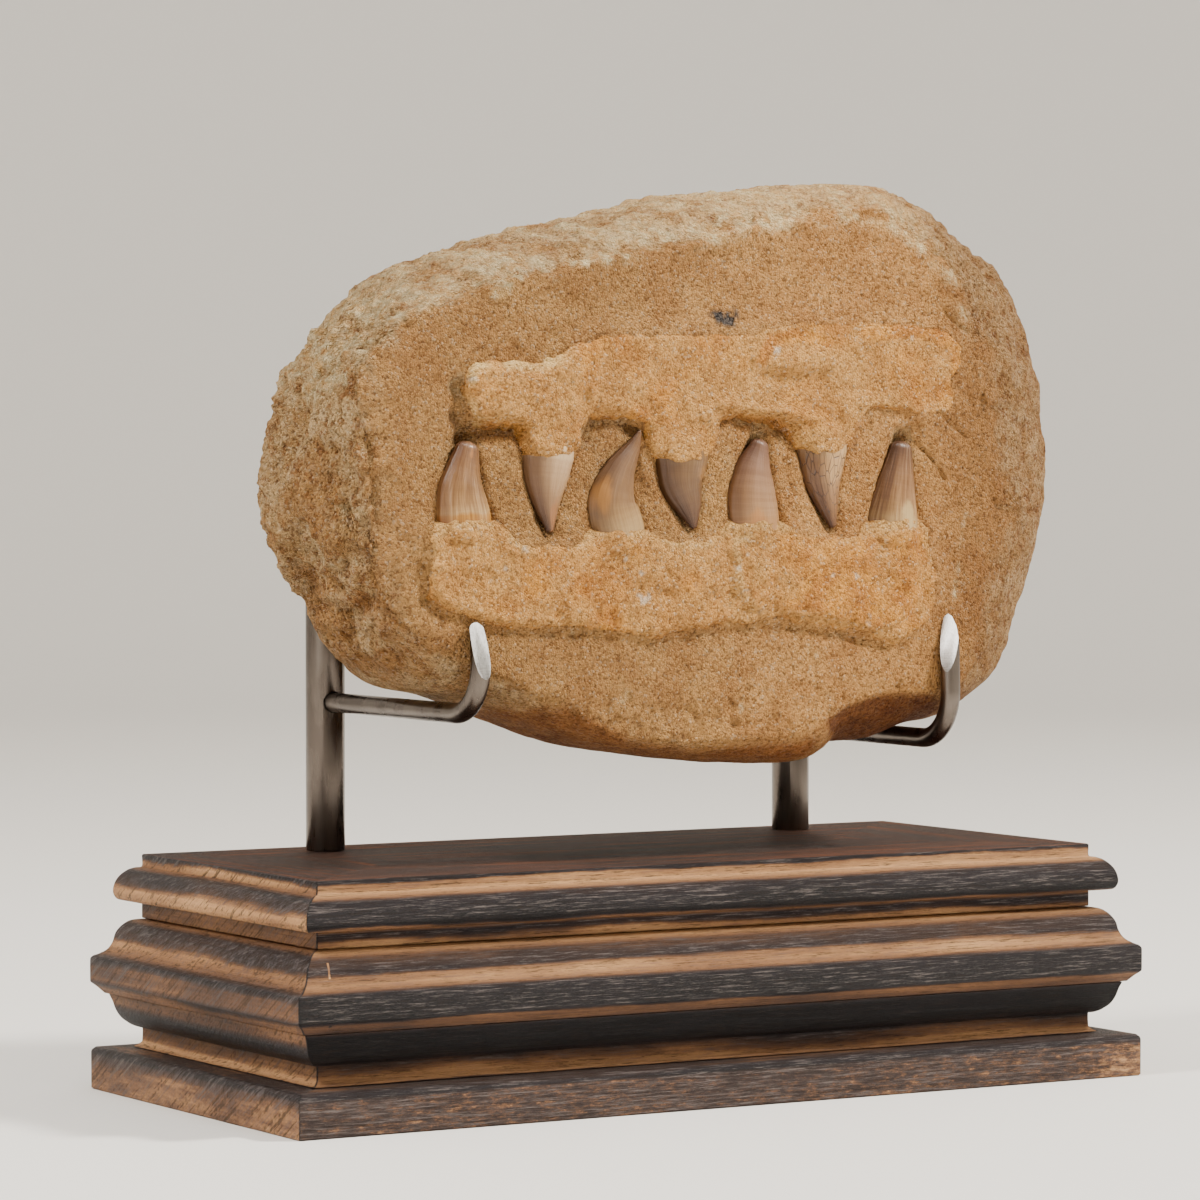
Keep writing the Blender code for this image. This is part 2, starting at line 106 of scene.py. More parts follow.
# Hollows and ridges of the broken ends: depth, half width, and a line as seen from the front left,
# where the first number runs square to that view.
SCARS = [
    (2.6, 3.2, [(-78.6, 214.5), (-75.3, 211), (-73.6, 206.7)]),
    (-1.8, 2.6, [(-81, 204), (-77.8, 198), (-77, 192), (-72.8, 183.5), (-71.5, 174.9)]),
    (3.2, 2.2, [(-82.4, 177.5), (-79.4, 173.2), (-71.1, 170.6)]),
    (2.6, 4.0, [(-79, 165), (-71, 157), (-62, 148)]),
    (3.0, 3.4, [(-93.6, 171.5), (-92, 159.4), (-93.6, 153.4)]),
    (2.0, 2.6, [(-87, 186), (-86, 171.5)]),
    (-1.4, 2.2, [(-88.2, 168), (-87.4, 152.5)]),
    (-1.6, 5.0, [(-92, 213), (-86, 219), (-78, 221)]),
    (1.6, 1.0, [(100.2, 238.4), (101.8, 236), (104.3, 233.6), (107.6, 232.4)]),
    (1.4, 0.9, [(103.5, 241), (104.4, 236), (107.4, 231)]),
    (1.0, 0.9, [(104.1, 207.5), (118.3, 208.5), (133.4, 207)]),
    (1.1, 0.9, [(115.5, 178), (123.9, 176.5), (131.5, 175.5)]),
    (-1.0, 4.0, [(112, 226), (124, 221), (132, 214)]),
]
# Crowns from base to point: x, z and half width. Upper ones hang between the lower ones.
CROWNS = {
    "lower_1": [(-84.1, 175.8, 9.3), (-84.4, 184, 7.8), (-83.3, 191, 5.6), (-81.7, 197.6, 3.8)],
    "upper_1": [(-54.4, 193.2, 8.4), (-55.2, 186, 7.0), (-55.3, 179, 4.6), (-54.6, 170.8, 1.5)],
    "lower_2": [(-30.6, 172, 8.9), (-32.2, 180, 8.1), (-29.2, 189, 5.2), (-24.6, 196, 2.6),
                (-22.2, 200.8, 0.8)],
    "upper_2": [(-7.2, 192.2, 9.2), (-7.2, 185, 7.3), (-5.0, 178, 4.7), (-3.4, 171.6, 1.4)],
    "lower_3": [(18.6, 173.5, 9.0), (18.4, 182, 8.4), (19.4, 190.5, 6.2), (21.6, 198.4, 3.2)],
    "upper_3": [(44.4, 194.8, 8.6), (44.4, 186.5, 6.7), (45.8, 179, 4.2), (47.8, 171.4, 1.4)],
    "lower_4": [(70.6, 173.8, 9.2), (71.8, 182, 7.5), (73.2, 190, 5.7), (74.6, 198, 3.9)],
}
CROWN_FLATTENING = 0.72
# White flecks in the sandstone: x, z and size.
STONE_FLECKS = (
    (54, 250, 1.1), (60, 242, 0.8), (71, 236, 0.8), (38, 267, 1.4), (104, 218, 0.8), (121, 184, 1.8),
    (-64, 233, 0.7), (-47, 141, 1.2), (-30, 122, 2), (12, 118, 1.8), (0, 135, 0.8), (-60, 119, 1.6),
    (38, 134, 0.8), (-118, 178, 2), (-117, 163, 1.6),
)
# Strokes of the picking tool on the sandstone: depth, half width, and the line that it followed.
CARVED = [
    (3.4, 3.0, [(-85.5, 213), (-86, 205), (-83.5, 200.5), (-76, 201.3), (-66, 201.3), (-62.5, 199)]),
    (2.6, 2.2, [(-41, 198.5), (-38, 203.2), (-31, 204.4), (-26, 201.6)]),
    (1.9, 1.4, [(-25, 201.6), (-18, 198.5), (-13.4, 196)]),
    (3.4, 2.6, [(8, 206.5), (15, 204.8), (25, 203), (34, 200.8), (38, 196.5)]),
    (0.9, 3.0, [(61, 207), (70, 208), (78, 205), (77, 200)]),
    (0.9, 0.5, [(76, 201.3), (78.9, 197.6), (82.3, 195.1), (86.1, 191.4), (90.2, 185.9)]),
    (0.7, 0.5, [(84, 213), (88, 207), (94, 202), (98, 199.5)]),
    (0.9, 0.6, [(91, 238.4), (92.9, 236), (95.9, 233.6), (99.8, 232.4)]),
    (1.5, 1.6, [(-98, 152), (-91.5, 146.6), (-82, 143.6), (-69.6, 141.4), (-57.5, 140.4), (-38, 139.6),
                (-20.6, 136.8), (-6, 138.6), (8, 140.6), (28, 141.2), (52, 138.2), (64, 134.6),
                (70.5, 133.4), (78, 137), (84.5, 142.4)]),
    (1.1, 2.1, [(-88, 198), (-93, 189), (-95, 178), (-98, 167), (-99.4, 158), (-98.4, 152)]),
    (-0.7, 2.2, [(-67.5, 198), (-67, 186), (-62.5, 175)]),
    (-0.8, 2.2, [(-24, 197), (-19.5, 187), (-11.5, 173)]),
    (-0.8, 2.2, [(32, 193), (35.5, 183), (42, 172)]),
    (0.5, 0.6, [(102, 206), (99, 214), (99.5, 222), (97, 229)]),
]


def smooth_path(anchors, steps, closed=False):
    """Places on the smooth curve through the anchors, some steps from each one to the next."""
    knots = np.array(anchors, float)
    if closed:
        knots = np.vstack((knots[-1], knots, knots[:2]))
    else:
        knots = np.vstack((2 * knots[0] - knots[1], knots, 2 * knots[-1] - knots[-2]))
    step = np.arange(steps)[:, None] / steps
    path = []
    for before, here, after, beyond in zip(knots, knots[1:], knots[2:], knots[3:]):
        path.append(here + step * (after - before) / 2
                    + step ** 2 * (before - 2.5 * here + 2 * after - beyond / 2)
                    + step ** 3 * (1.5 * here - before / 2 - 1.5 * after + beyond / 2))
    return np.vstack(path if closed else path + [knots[-2]])


def ease(value, low, high):
    """Goes smoothly from 0 at the low value to 1 at the high one."""
    share = np.clip((value - low) / (high - low), 0, 1)
    return share * share * (3 - 2 * share)


def swell(spots, size, seed=0):
    """Smooth random heights from -1 to 1 with swells of one size."""
    cell = spots / size + 31.7 * seed
    low = np.floor(cell)
    part = cell - low
    part = part * part * (3 - 2 * part)
    low = low.astype(np.int64)
    total = np.zeros(len(spots))
    for corner in product((0, 1), repeat=3):
        key = (low + corner) @ np.array((374761393, 668265263, 1442695041))
        key = (key ^ (key >> 13)) * 1274126177
        key = ((key ^ (key >> 16)) & 0xFFFF) / 32767.5 - 1
        total += key * np.prod(np.where(corner, part, 1 - part), axis=1)
    return total


def rough(spots, size, seed=0):
    """Broken rock: swells of a size, with others half and a quarter as large on them."""
    return (swell(spots, size, seed) + 0.55 * swell(spots, size / 2, seed + 1)
            + 0.3 * swell(spots, size / 4, seed + 2))


def near_line(x, z, line):
    """Distance to a drawn line."""
    near = np.full(x.shape, 1e9)
    for (x0, z0), (x1, z1) in zip(line, line[1:]):
        run, rise = x1 - x0, z1 - z0
        along = np.clip(((x - x0) * run + (z - z0) * rise) / (run * run + rise * rise), 0, 1)
        near = np.minimum(near, np.hypot(x - x0 - along * run, z - z0 - along * rise))
    return near


def mound(x, z, line, width):
    """A rounded ridge along a drawn line, 1 at its top."""
    return np.exp(-(near_line(x, z, line) / width) ** 2)


def inside(x, z, outline):
    """Distance to the smooth outline through some anchors, positive inside it."""
    path = smooth_path(outline, 3, closed=True)
    path = np.vstack((path, path[0]))
    odd = np.zeros(x.shape, bool)
    for (x0, z0), (x1, z1) in zip(path, path[1:]):
        if z0 != z1:
            odd ^= ((z0 > z) != (z1 > z)) & (x < x0 + (z - z0) * (x1 - x0) / (z1 - z0))
    near = near_line(x, z, path)
    return np.where(odd, near, -near)


def face_y(x, z):
    """Where the flat of the dressed face lies."""
    return -50.3 + 0.038 * x + 0.035 * (z - 127)


def axis_depth(half):
    """How far behind the face a crown's middle lies: its point comes forward as it thins."""
    return 0.8 + 0.23 * half


def beside_crown(x, z, line):
    """Distance outside a crown, how far to its right, and how far along it from base to point."""
    path = smooth_path(line, 10)
    reach = np.full(x.shape, 1e9)
    right = np.zeros(x.shape)
    along = np.zeros(x.shape)
    for place, (cx, cz, half) in enumerate(path):
        gap = np.hypot(x - cx, z - cz) - half
        nearer = gap < reach
        reach = np.where(nearer, gap, reach)
        right = np.where(nearer, (x - cx) / half, right)
        along = np.where(nearer, place / (len(path) - 1), along)
    return reach, right, along


def root_height(x, z):
    """How far the swollen roots stand out beyond the bases of the crowns."""
    height = np.full(x.shape, -9.0)
    for line in CROWNS.values():
        base = np.array(line[0])
        way = np.array(line[1][:2]) - base[:2]
        way /= np.hypot(*way)
        along = (x - base[0]) * way[0] + (z - base[1]) * way[1]
        half = base[2] * (1.02 - 0.02 * along)
        across = ((x - base[0]) * way[1] - (z - base[1]) * way[0]) / half
        out = CROWN_FLATTENING * base[2] * np.sqrt(np.clip(1 - across ** 2, 0, 1))
        here = (out - axis_depth(base[2]) + 0.45) * ease(along, -13, -5) - 6 * ease(along, 2.5, 4)
        height = np.where((along > -13) & (np.abs(across) < 1), np.maximum(height, here), height)
    return height


def ground(spots):
    """The picked surface of the sandstone, which goes on over the bone where the two merge."""
    height = 0.6 * rough(spots, 24, 1) + 0.36 * rough(spots, 5, 2) + 0.26 * swell(spots, 1.8, 6)
    return height - 0.32 * np.abs(swell(spots, 2.6, 14))


def jaw_height(x, z, upper):
    """How far a jaw stands out of the dressed face, how far inside its outline each place is, and
    how high the sandstone comes up to meet it there."""
    spots = np.column_stack((x, np.zeros(x.shape), z))
    edge = inside(x, z, UPPER_JAW if upper else LOWER_JAW)
    edge += 0.9 * swell(spots, 4.3, 5) + 0.6 * swell(spots, 1.9, 7)
    if upper:
        level = np.interp(x, (-84, -47, -38, -10, 12, 32, 60, 96),
                          (3.4, 3.1, 2.2, 2.1, 2.0, 1.9, 1.6, 0.9))
        meet = np.maximum(ease(z, 207, 216) * ease(x, -50, -34), ease(x, 62, 82))
        soft = np.interp(z, (205, 222), (0.8, 1.3))
        level += 1.7 * np.exp(-((x - 33) / 12) ** 2 - ((z - 222.4) / 4.6) ** 2)
        level -= 1.3 * mound(x, z, [(22, 217.4), (33, 216), (43, 216.8)], 2.2)
        level += 1.5 * mound(x, z, [(5, 209), (15, 207.2), (30, 205.8), (42, 204.6)], 1.8)
        level -= 0.9 * mound(x, z, [(-43, 205), (-44, 214), (-40, 222)], 2.6)
        level -= 0.6 * mound(x, z, [(62, 214), (80, 212), (90, 213)], 3.2)
        level -= 0.9 * np.exp(-(np.hypot(x + 14, (z - 217) * 1.2) / 6) ** 2)
        level += 0.5 * mound(x, z, [(60, 231), (86, 231.5), (95, 227)], 2)
    else:
        level = np.interp(x, (-95, -60, 0, 20, 80), (2.7, 2.1, 1.6, 1.8, 1.5))
        meet = np.maximum(ease(z, 157, 166), ease(x, 70, 81))
        step = inside(x, z, JAW_STEP) + 0.9 * swell(spots, 2.8, 9)
        level += 1.2 * ease(step, -0.6, 1.6) * ease(174 - z, 0, 12)
        soft = np.interp(z, (156, 168), (0.7, 2))
        level += 0.8 * mound(x, z, [(-72, 166), (-61, 164.2)], 1.7)
        level += 1.0 * np.exp(-(np.hypot(x + 19.6, z - 141.8) / 2.2) ** 2)
        level -= 1.2 * mound(x, z, [(-25, 154), (-12, 151.5)], 2.2)
        level -= 0.7 * mound(x, z, [(-44, 152), (-38, 146), (-30, 144)], 2.5)
    shoulder = 0.92 * meet * level
    own = 0.75 * rough(spots, 10, 3) + 0.5 * rough(spots, 3.2, 4) - 0.5 * np.abs(swell(spots, 2.1, 13))
    rise = 1 - np.exp(-np.maximum(edge, 0) / soft)
    height = shoulder + (level - shoulder) * rise
    height += meet * ground(spots) + (1 - 0.75 * meet) * own * (0.3 + 0.7 * rise)
    height += np.where(edge < 0, 2.3 * edge, 0)
    roots = root_height(x, z) + 0.6 * own
    height = np.maximum(height, roots - 5 * ease(-edge, 0.3, 1.6))
    return height, edge, shoulder


def stone_height(x, z):
    """How far the sandstone stands out of its flat round the bones and crowns."""
    spots = np.column_stack((x, np.zeros(x.shape), z))
    height = ground(spots)
    height -= 1.5 * ease(128 - z, 0, 14) * np.abs(rough(spots, 5.5, 8)) * (np.abs(x + 5) < 55)
    clear = np.full(x.shape, 99.0)
    cut = np.zeros(x.shape)
    for name, line in CROWNS.items():
        reach, right, along = beside_crown(x, z, line)
        left = ease(right, 0.5, -0.7) * (1.0 if name[0] == "u" else 0.5)
        depth = 0.35 + (1.3 + 0.6 * along) * left
        groove = depth * np.exp(-(reach / (0.8 + 0.7 * left)) ** 2)
        cut = np.maximum(cut, np.minimum(np.where(reach > 0, groove, depth - 1.2 * reach), 5))
        clear = np.minimum(clear, reach)
    band = ease(z, 166, 172) * ease(206 - z, 0, 6) * ease(x, -92, -84) * ease(86 - x, 0, 8)
    height -= 0.5 * band
    bones = [jaw_height(x, z, upper) for upper in (True, False)]
    for bone, edge, shoulder in bones:
        height += shoulder * np.exp(-(np.maximum(-edge, 0) / 5) ** 2) * ease(clear, -1, 5)
    for depth, width, line in CARVED:
        wander = 1 + 0.4 * swell(spots, 4, 11)
        height -= depth * wander * mound(x, z, line, width)
    height -= cut
    for bone, edge, shoulder in bones:
        buried = np.minimum(height, bone - 0.7 * np.clip(edge + 0.2, 0, 3))
        height = np.where(edge > -0.2, buried, height)
    return height


def places_of(mesh):
    """The corners of a mesh as rows of x, y and z in millimetres."""
    places = np.empty(len(mesh.vertices) * 3)
    mesh.vertices.foreach_get("co", places)
    return places.reshape(-1, 3) / MM


def move_corners(mesh, places):
    """Put the corners of a mesh at the given places."""
    mesh.vertices.foreach_set("co", (places * MM).ravel())
    mesh.update()


def store(mesh, name, *columns):
    """Keep up to four values for each corner under a name that a material can read."""
    layer = mesh.attributes.new(name, "FLOAT_COLOR", "POINT")
    rows = np.zeros((len(mesh.vertices), 4), np.float32)
    for place, column in enumerate(columns):
        rows[:, place] = column
    layer.data.foreach_set("color", rows.ravel())


def start(name):
    """Name the new primitive, with nothing else selected."""
    made = bpy.context.object
    made.name = name
    made.data.name = name
    return made


def modify(made, kind, **settings):
    """Add a modifier to the active piece, set it up and apply it."""
    bpy.ops.object.modifier_add(type=kind)
    step = made.modifiers[-1]
    for title, value in settings.items():
        setattr(step, title, value)
    bpy.ops.object.modifier_apply(modifier=step.name)


def from_face(spots, depth):
    """How far behind the face each place lies, and, down to a depth, how far inside its outline."""
    x, y, z = spots.T
    behind = y - face_y(x, z)
    border = np.full(len(spots), -9.0)
    close = behind < depth
    border[close] = inside(x[close], z[close], FACE_EDGE)
    return behind, border


narrow = smooth_path(FACE_EDGE, 4, closed=True)
wide = smooth_path(WIDE_EDGE, 4, closed=True)
sections = smooth_path(STONE_SECTIONS, 2)
bpy.ops.object.select_all(action="DESELECT")
bpy.ops.mesh.primitive_grid_add(x_subdivisions=len(narrow), y_subdivisions=len(sections) - 1, size=2)
stone = start("sandstone_slab")
sheet = places_of(stone.data) * MM
turn = np.rint((sheet[:, 0] + 1) / 2 * len(narrow)).astype(int) % len(narrow)
growth, scale, depth = sections[np.rint((sheet[:, 1] + 1) / 2 * (len(sections) - 1)).astype(int)].T
flat = narrow[turn] + (wide - narrow)[turn] * growth[:, None]
flat = np.array(STONE_MIDDLE) + (flat - STONE_MIDDLE) * scale[:, None]
front = face_y(flat[:, 0], flat[:, 1])
move_corners(stone.data, np.column_stack((flat[:, 0], front + (STONE_BACK - front) * depth, flat[:, 1])))
bpy.ops.object.mode_set(mode="EDIT")
bpy.ops.mesh.select_all(action="SELECT")
bpy.ops.mesh.remove_doubles(threshold=0.01 * MM)
bpy.ops.mesh.fill_holes(sides=0)
bpy.ops.mesh.normals_make_consistent(inside=False)
bpy.ops.object.mode_set(mode="OBJECT")
modify(stone, "REMESH", mode="VOXEL", voxel_size=STONE_MESH[0] * MM)

spots = places_of(stone.data)
normals = np.empty(len(spots) * 3)
stone.data.vertices.foreach_get("normal", normals)
normals = normals.reshape(-1, 3)
x, y, z = spots.T
behind, border = from_face(spots, 5)
ragged = border + 1.6 * rough(spots, 9, 19) * ease(-x, 80, 110)
dressed = ease(2.2 - behind, 0, 1.6) * ease(ragged, -1.6, -0.2)
steel_near = np.minimum(np.abs(x + 82), np.abs(x - 88))
free = 1 - (1 - ease(steel_near, 5, 13)) * ease(152 - z, 0, 6)
under = ease(-normals[:, 2], 0.25, 0.6) * ease(135 - z, 0, 12)
left_end = ease(-x, 96, 112)
right_end = ease(x, 85, 110)
bumps = rough(spots, 19, 21) * (1.1 + 0.6 * left_end - 0.2 * right_end)
craggy = spots * (1, 1, 0.6)
bumps += rough(craggy, 7, 25) * (0.6 + 1.5 * left_end - 0.2 * right_end)
bumps -= (0.4 + 2.5 * left_end) * np.abs(rough(craggy, 5, 29))
bumps -= (0.4 + 0.3 * left_end) * np.abs(swell(spots, 2.6, 35))
bumps += 0.75 * rough(spots, 3.2, 36) * ease(z - 0.12 * x, 216, 232)
bumps -= right_end * (1.2 * np.abs(swell(spots, 21, 37)) + 0.7 * np.abs(rough(spots, 8, 34)))
rim = ease(2.5 - np.abs(border + 1.5), 0, 3) * ease(z, 228, 238)
bumps += 1.3 * rim * ease(rough(spots, 9, 38), -0.4, 0.5)
scoop = inside(x, z, SCOOP)
bumps -= 2.2 * ease(scoop, 0, 6) * (y < -15)
across_view = 0.859 * x - 0.512 * y
for depth, width, line in SCARS:
    wander = 1 + 0.4 * swell(spots, 5, 12)
    bumps -= depth * wander * mound(across_view, z, line, width) * (y < 5)
bumps *= (1 - 0.75 * under) * (0.15 + 0.85 * free) * (1 - dressed)
spots += normals * bumps[:, None]
front = dressed > 0
relief = np.zeros(len(spots))
relief[front] = stone_height(x[front], z[front])
chips = ease(3 - border, 0, 3) * np.abs(rough(spots, 5, 41))
relief -= (1.2 - 0.9 * ease(z, 228, 238)) * chips * free
relief += 0.8 * ease(4 - border, 0, 4) * ease(z, 226, 238) * ease(rough(spots, 8, 42), -0.4, 0.6)
relief -= left_end * ease(12 - border, 0, 12) * (1.6 + 1.2 * rough(spots, 8, 43))
spots[:, 1] -= relief * dressed * np.where(free < 1, 0.35 + 0.65 * free, 1)
spots[:, 1] = np.minimum(spots[:, 1], STONE_BACK)
over = np.maximum(spots[:, 2] - STONE_TOP[0], 0)
spots[:, 2] -= over - STONE_TOP[1] * (1 - np.exp(-over / STONE_TOP[1]))
move_corners(stone.data, spots)

# The mesh is thinned where the rock is smoothest.
modify(stone, "DECIMATE", ratio=min(1, STONE_MESH[1] / (2 * len(stone.data.polygons))))
stone.data.shade_smooth()

# Weathering: crust, chalky white, rusty orange and black, each where the real stone has it.
spots = places_of(stone.data)
x, y, z = spots.T
behind, border = from_face(spots, 6)
crust = ease(behind - 0.8 * rough(spots, 4, 51), 0.6, 3.5)
on_top = ease(z - 0.12 * x, 214, 232) * crust * (1 - 0.8 * ease(x, 80, 105))
rim = ease(5 - np.abs(border + 1), 0, 4) * ease(z, 226, 240)
drawn = spots * (1, 0.45, 0.45) + (0.35 * (y + z))[:, None] * (1, 0, 0)
chalk = on_top * 0.85 * ease(rough(drawn, 6, 53), -0.8, 0.5)
chalk = np.maximum(chalk, rim * ease(rough(spots * (0.6, 1, 1), 5, 55), -0.1, 0.5))
ridge = near_line(x, z, [(71.7, 265), (76, 260.7), (81, 258.3), (85.6, 253), (90, 250.8), (95, 247)])
chalk = np.maximum(chalk, ease(1.9 - ridge, 0, 1.8) * ease(swell(spots, 3, 57), -0.3, 0.4))
scratch = near_line(x, z, [(97.7, 176.2), (96.4, 168.8), (94.2, 158), (92.8, 148.7)])
chalk = np.maximum(chalk, ease(0.75 - scratch, 0, 0.4) * (0.5 + 0.5 * ease(158 - z, 0, 8)))
scratch = near_line(x, z, [(36.8, 135), (39.4, 132.5)])
chalk = np.maximum(chalk, 0.8 * ease(0.7 - scratch, 0, 0.4))
for cx, cz, size in STONE_FLECKS:
    fleck = size - np.hypot(x - cx, z - cz) + 0.8 * size * rough(spots, 1.6, 58)
    chalk = np.maximum(chalk, 0.6 * ease(fleck, 0, 0.7))
rust = crust * ease(rough(drawn, 9, 61), -0.1, 0.7) * (0.8 - 0.6 * ease(x, 70, 100))
rust = np.maximum(rust, ease(170 - z + 0.4 * (x + 112), 0, 12) * crust * ease(-x, 85, 100)
                  * ease(rough(spots, 9, 63), -0.5, 0.5))
rust = np.maximum(rust, ease(5 - near_line(x, z, [(-86, 210), (-85, 201), (-74, 200), (-63, 199)]), 0, 4)
                  * (behind < 8) * 0.8)
rust = np.maximum(rust, 0.8 * ease(4 - near_line(x, z, [(-25, 203), (-14, 197)]), 0, 3) * (behind < 8))
rust = np.maximum(rust, crust * ease(124 - z, 0, 8) * ease(x, -100, -80))
black = 3.0 - np.hypot((x - 7.5) / 1.6, z - 234.6) + 1.7 * rough(spots, 2.3, 65)
black = ease(black, 0, 1.2) * (behind < 5)
store(stone.data, "weather", crust, chalk, rust, black)
# Where painted shade goes: the notch under the right end, a band along the underside and the deep pits of
# the left end.
hollow = ease(inside(x, z, SCOOP) + 0.8 * swell(spots, 3, 67), 0, 3) * ease(behind, 0.5, 2) * (y < -10)
band = ease(np.interp(x, (-78, -50, -25, 0, 39, 50), (119, 120, 109, 105.5, 108, 104)) - z, -1, 3)
pitted = ease(np.abs(rough(spots * (1, 1, 0.6), 5, 29)), 0.45, 1.0) * ease(-x, 92, 108) * crust
store(stone.data, "painted_shade", hollow, band * (y < 0) * ease(x, -95, -75) * ease(46 - x, 0, 6), pitted)


def paint(red, green, blue):
    """A colour as a paint chart gives it, turned into what the renderer mixes."""
    parts = [(part / 255 + 0.055) / 1.055 for part in (red, green, blue)]
    return tuple(max(part, 0.055 / 1.055 + 0.04 / 12.92) ** 2.4 for part in parts) + (1.0,)


def add(tree, kind, sockets, **settings):
    """Add a node, set it up, and fill its sockets with values or links."""
    made = tree.nodes.new("ShaderNode" + kind)
    for name, value in settings.items():
        setattr(made, name, value)
    for name, value in sockets.items():
        if isinstance(value, bpy.types.NodeSocket):
            tree.links.new(value, made.inputs[name])
        else:
            made.inputs[name].default_value = value
    return made


def noise(tree, where, scale, detail=2.0, roughness=0.55):
    """Cloudy values from 0 to 1 with a number of clouds to the metre."""
    sockets = {"Vector": where, "Scale": scale, "Detail": detail, "Roughness": roughness}
    return add(tree, "TexNoise", sockets).outputs["Fac"]


def maths(tree, operation, one, two=0.0):
    """One step of arithmetic."""
    return add(tree, "Math", {0: one, 1: two}, operation=operation).outputs[0]


def times(tree, one, two):
    """One value taken as often as the other says."""
    return maths(tree, "MULTIPLY", one, two)


def plus(tree, one, two):
    """Two values together."""
    return maths(tree, "ADD", one, two)


def minus(tree, one, two):
    """What is left of one value without the other."""
    return maths(tree, "SUBTRACT", one, two)


def swing(tree, value, reach):
    """A cloudy value that now swings to both sides of nought."""
    return times(tree, minus(tree, value, 0.5), reach)


def span(tree, value, low, high, start=0.0, end=1.0):
    """Spread a range of values over another, smoothly and within its ends."""
    sockets = {"Value": value, "From Min": low, "From Max": high, "To Min": start, "To Max": end}
    return add(tree, "MapRange", sockets, interpolation_type="SMOOTHSTEP").outputs[0]


def blend(tree, share, one, two, way="MIX"):
    """Mix two colours by a share."""
    sockets = {0: share, 6: one, 7: two}
    return add(tree, "Mix", sockets, data_type="RGBA", blend_type=way).outputs[2]


def coat(tree, colour, mask, share, chart, way="MIX"):
    """Lay a colour of the paint chart over another, as thick as a mask says, up to a share."""
    return blend(tree, times(tree, mask, share), colour, paint(*chart), way)


def clouded(tree, value, low, high, one, two):
    """A colour of the paint chart where a cloudy value is low, and another where it is high."""
    return blend(tree, span(tree, value, low, high), paint(*one), paint(*two))


def ramp(tree, value, stops):
    """Colours in a row, each at its place along a value."""
    made = add(tree, "ValToRGB", {0: value})
    while len(made.color_ramp.elements) < len(stops):
        made.color_ramp.elements.new(0.5)
    for knot, (place, shade) in zip(made.color_ramp.elements, stops):
        knot.position = place
        knot.color = shade
    return made.outputs[0]


def masks_of(tree, name):
    """The four values that a piece keeps for each corner."""
    kept = add(tree, "Attribute", {}, attribute_name=name).outputs
    return [*add(tree, "SeparateColor", {0: kept["Color"]}).outputs, kept["Alpha"]]


def stretched(tree, where, scale):
    """Coordinates drawn out or pressed together."""
    return add(tree, "Mapping", {"Vector": where, "Scale": scale}).outputs[0]


def new_group(name, inputs, outputs):
    """An empty shader group with its named sockets. All that it puts out are plain values."""
    group = bpy.data.node_groups.new(name, "ShaderNodeTree")
    for title, kind in inputs.items():
        group.interface.new_socket(title, in_out="INPUT", socket_type="NodeSocket" + kind)
    for title in outputs:
        group.interface.new_socket(title, in_out="OUTPUT", socket_type="NodeSocketFloat")
    return group, group.nodes.new("NodeGroupInput"), group.nodes.new("NodeGroupOutput")


def new_material(name, **finish):
    """A material with its surface, and the shader values that are the same all over it."""
    made = bpy.data.materials.new(name)
    made.use_nodes = True
    surface = made.node_tree.nodes["Principled BSDF"]
    for title, value in finish.items():
        surface.inputs[title.replace("_", " ")].default_value = value
    return made, made.node_tree, surface


def bump(tree, height, distance, strength=1.0):
    """Turn heights into shading."""
    sockets = {"Height": height, "Distance": distance, "Strength": strength}
    return add(tree, "Bump", sockets).outputs[0]


# Cemented sand, on stone and bone alike: grains, the pits between them, light quartz and mottling.
sand, sand_in, sand_out = new_group(
    "cemented_sand", {"Coarseness": "Float"}, ("Grain", "Pits", "Quartz", "Mottle", "Height"))
place = add(sand, "TexCoord", {}).outputs["Object"]
wobble = add(sand, "TexNoise", {"Vector": place, "Scale": 700, "Detail": 1}).outputs["Color"]
wobble = add(sand, "VectorMath", {0: wobble, "Scale": 0.6 * MM}, operation="SCALE").outputs[0]
place = add(sand, "VectorMath", {0: place, 1: wobble}, operation="ADD").outputs[0]
cells = add(sand, "TexVoronoi", {"Vector": place, "Scale": 1450})
grain = add(sand, "SeparateColor", {0: cells.outputs["Color"]}).outputs[0]
clumps = noise(sand, place, 520, 4, 0.75)
pits = span(sand, noise(sand, place, 900, 2, 0.6), 0.42, 0.32)
height = minus(sand, times(sand, clumps, sand_in.outputs[0]), cells.outputs["Distance"])
height = plus(sand, height, times(sand, grain, 0.35))
height = minus(sand, height, times(sand, pits, 0.7))
for title, value in (("Grain", grain), ("Pits", pits), ("Quartz", span(sand, grain, 0.9, 0.96)),
                     ("Mottle", noise(sand, place, 75, 4, 0.6)), ("Height", height)):
    sand.links.new(value, sand_out.inputs[title])

slab_finish, tree, surface = new_material("sandstone", Specular_IOR_Level=0.25)
crusted, whitened, rusted, blackened = masks_of(tree, "weather")
where = add(tree, "TexCoord", {}).outputs["Object"]
across_slab = add(tree, "SeparateXYZ", {0: where}).outputs[0]
grains = add(tree, "Group", {"Coarseness": 1.5}, node_tree=sand).outputs
colour = clouded(tree, grains["Mottle"], 0.35, 0.65, (198, 143, 84), (220, 166, 101))
colour = coat(tree, colour, span(tree, noise(tree, where, 22, 3), 0.45, 0.7), 0.5, (206, 154, 92))
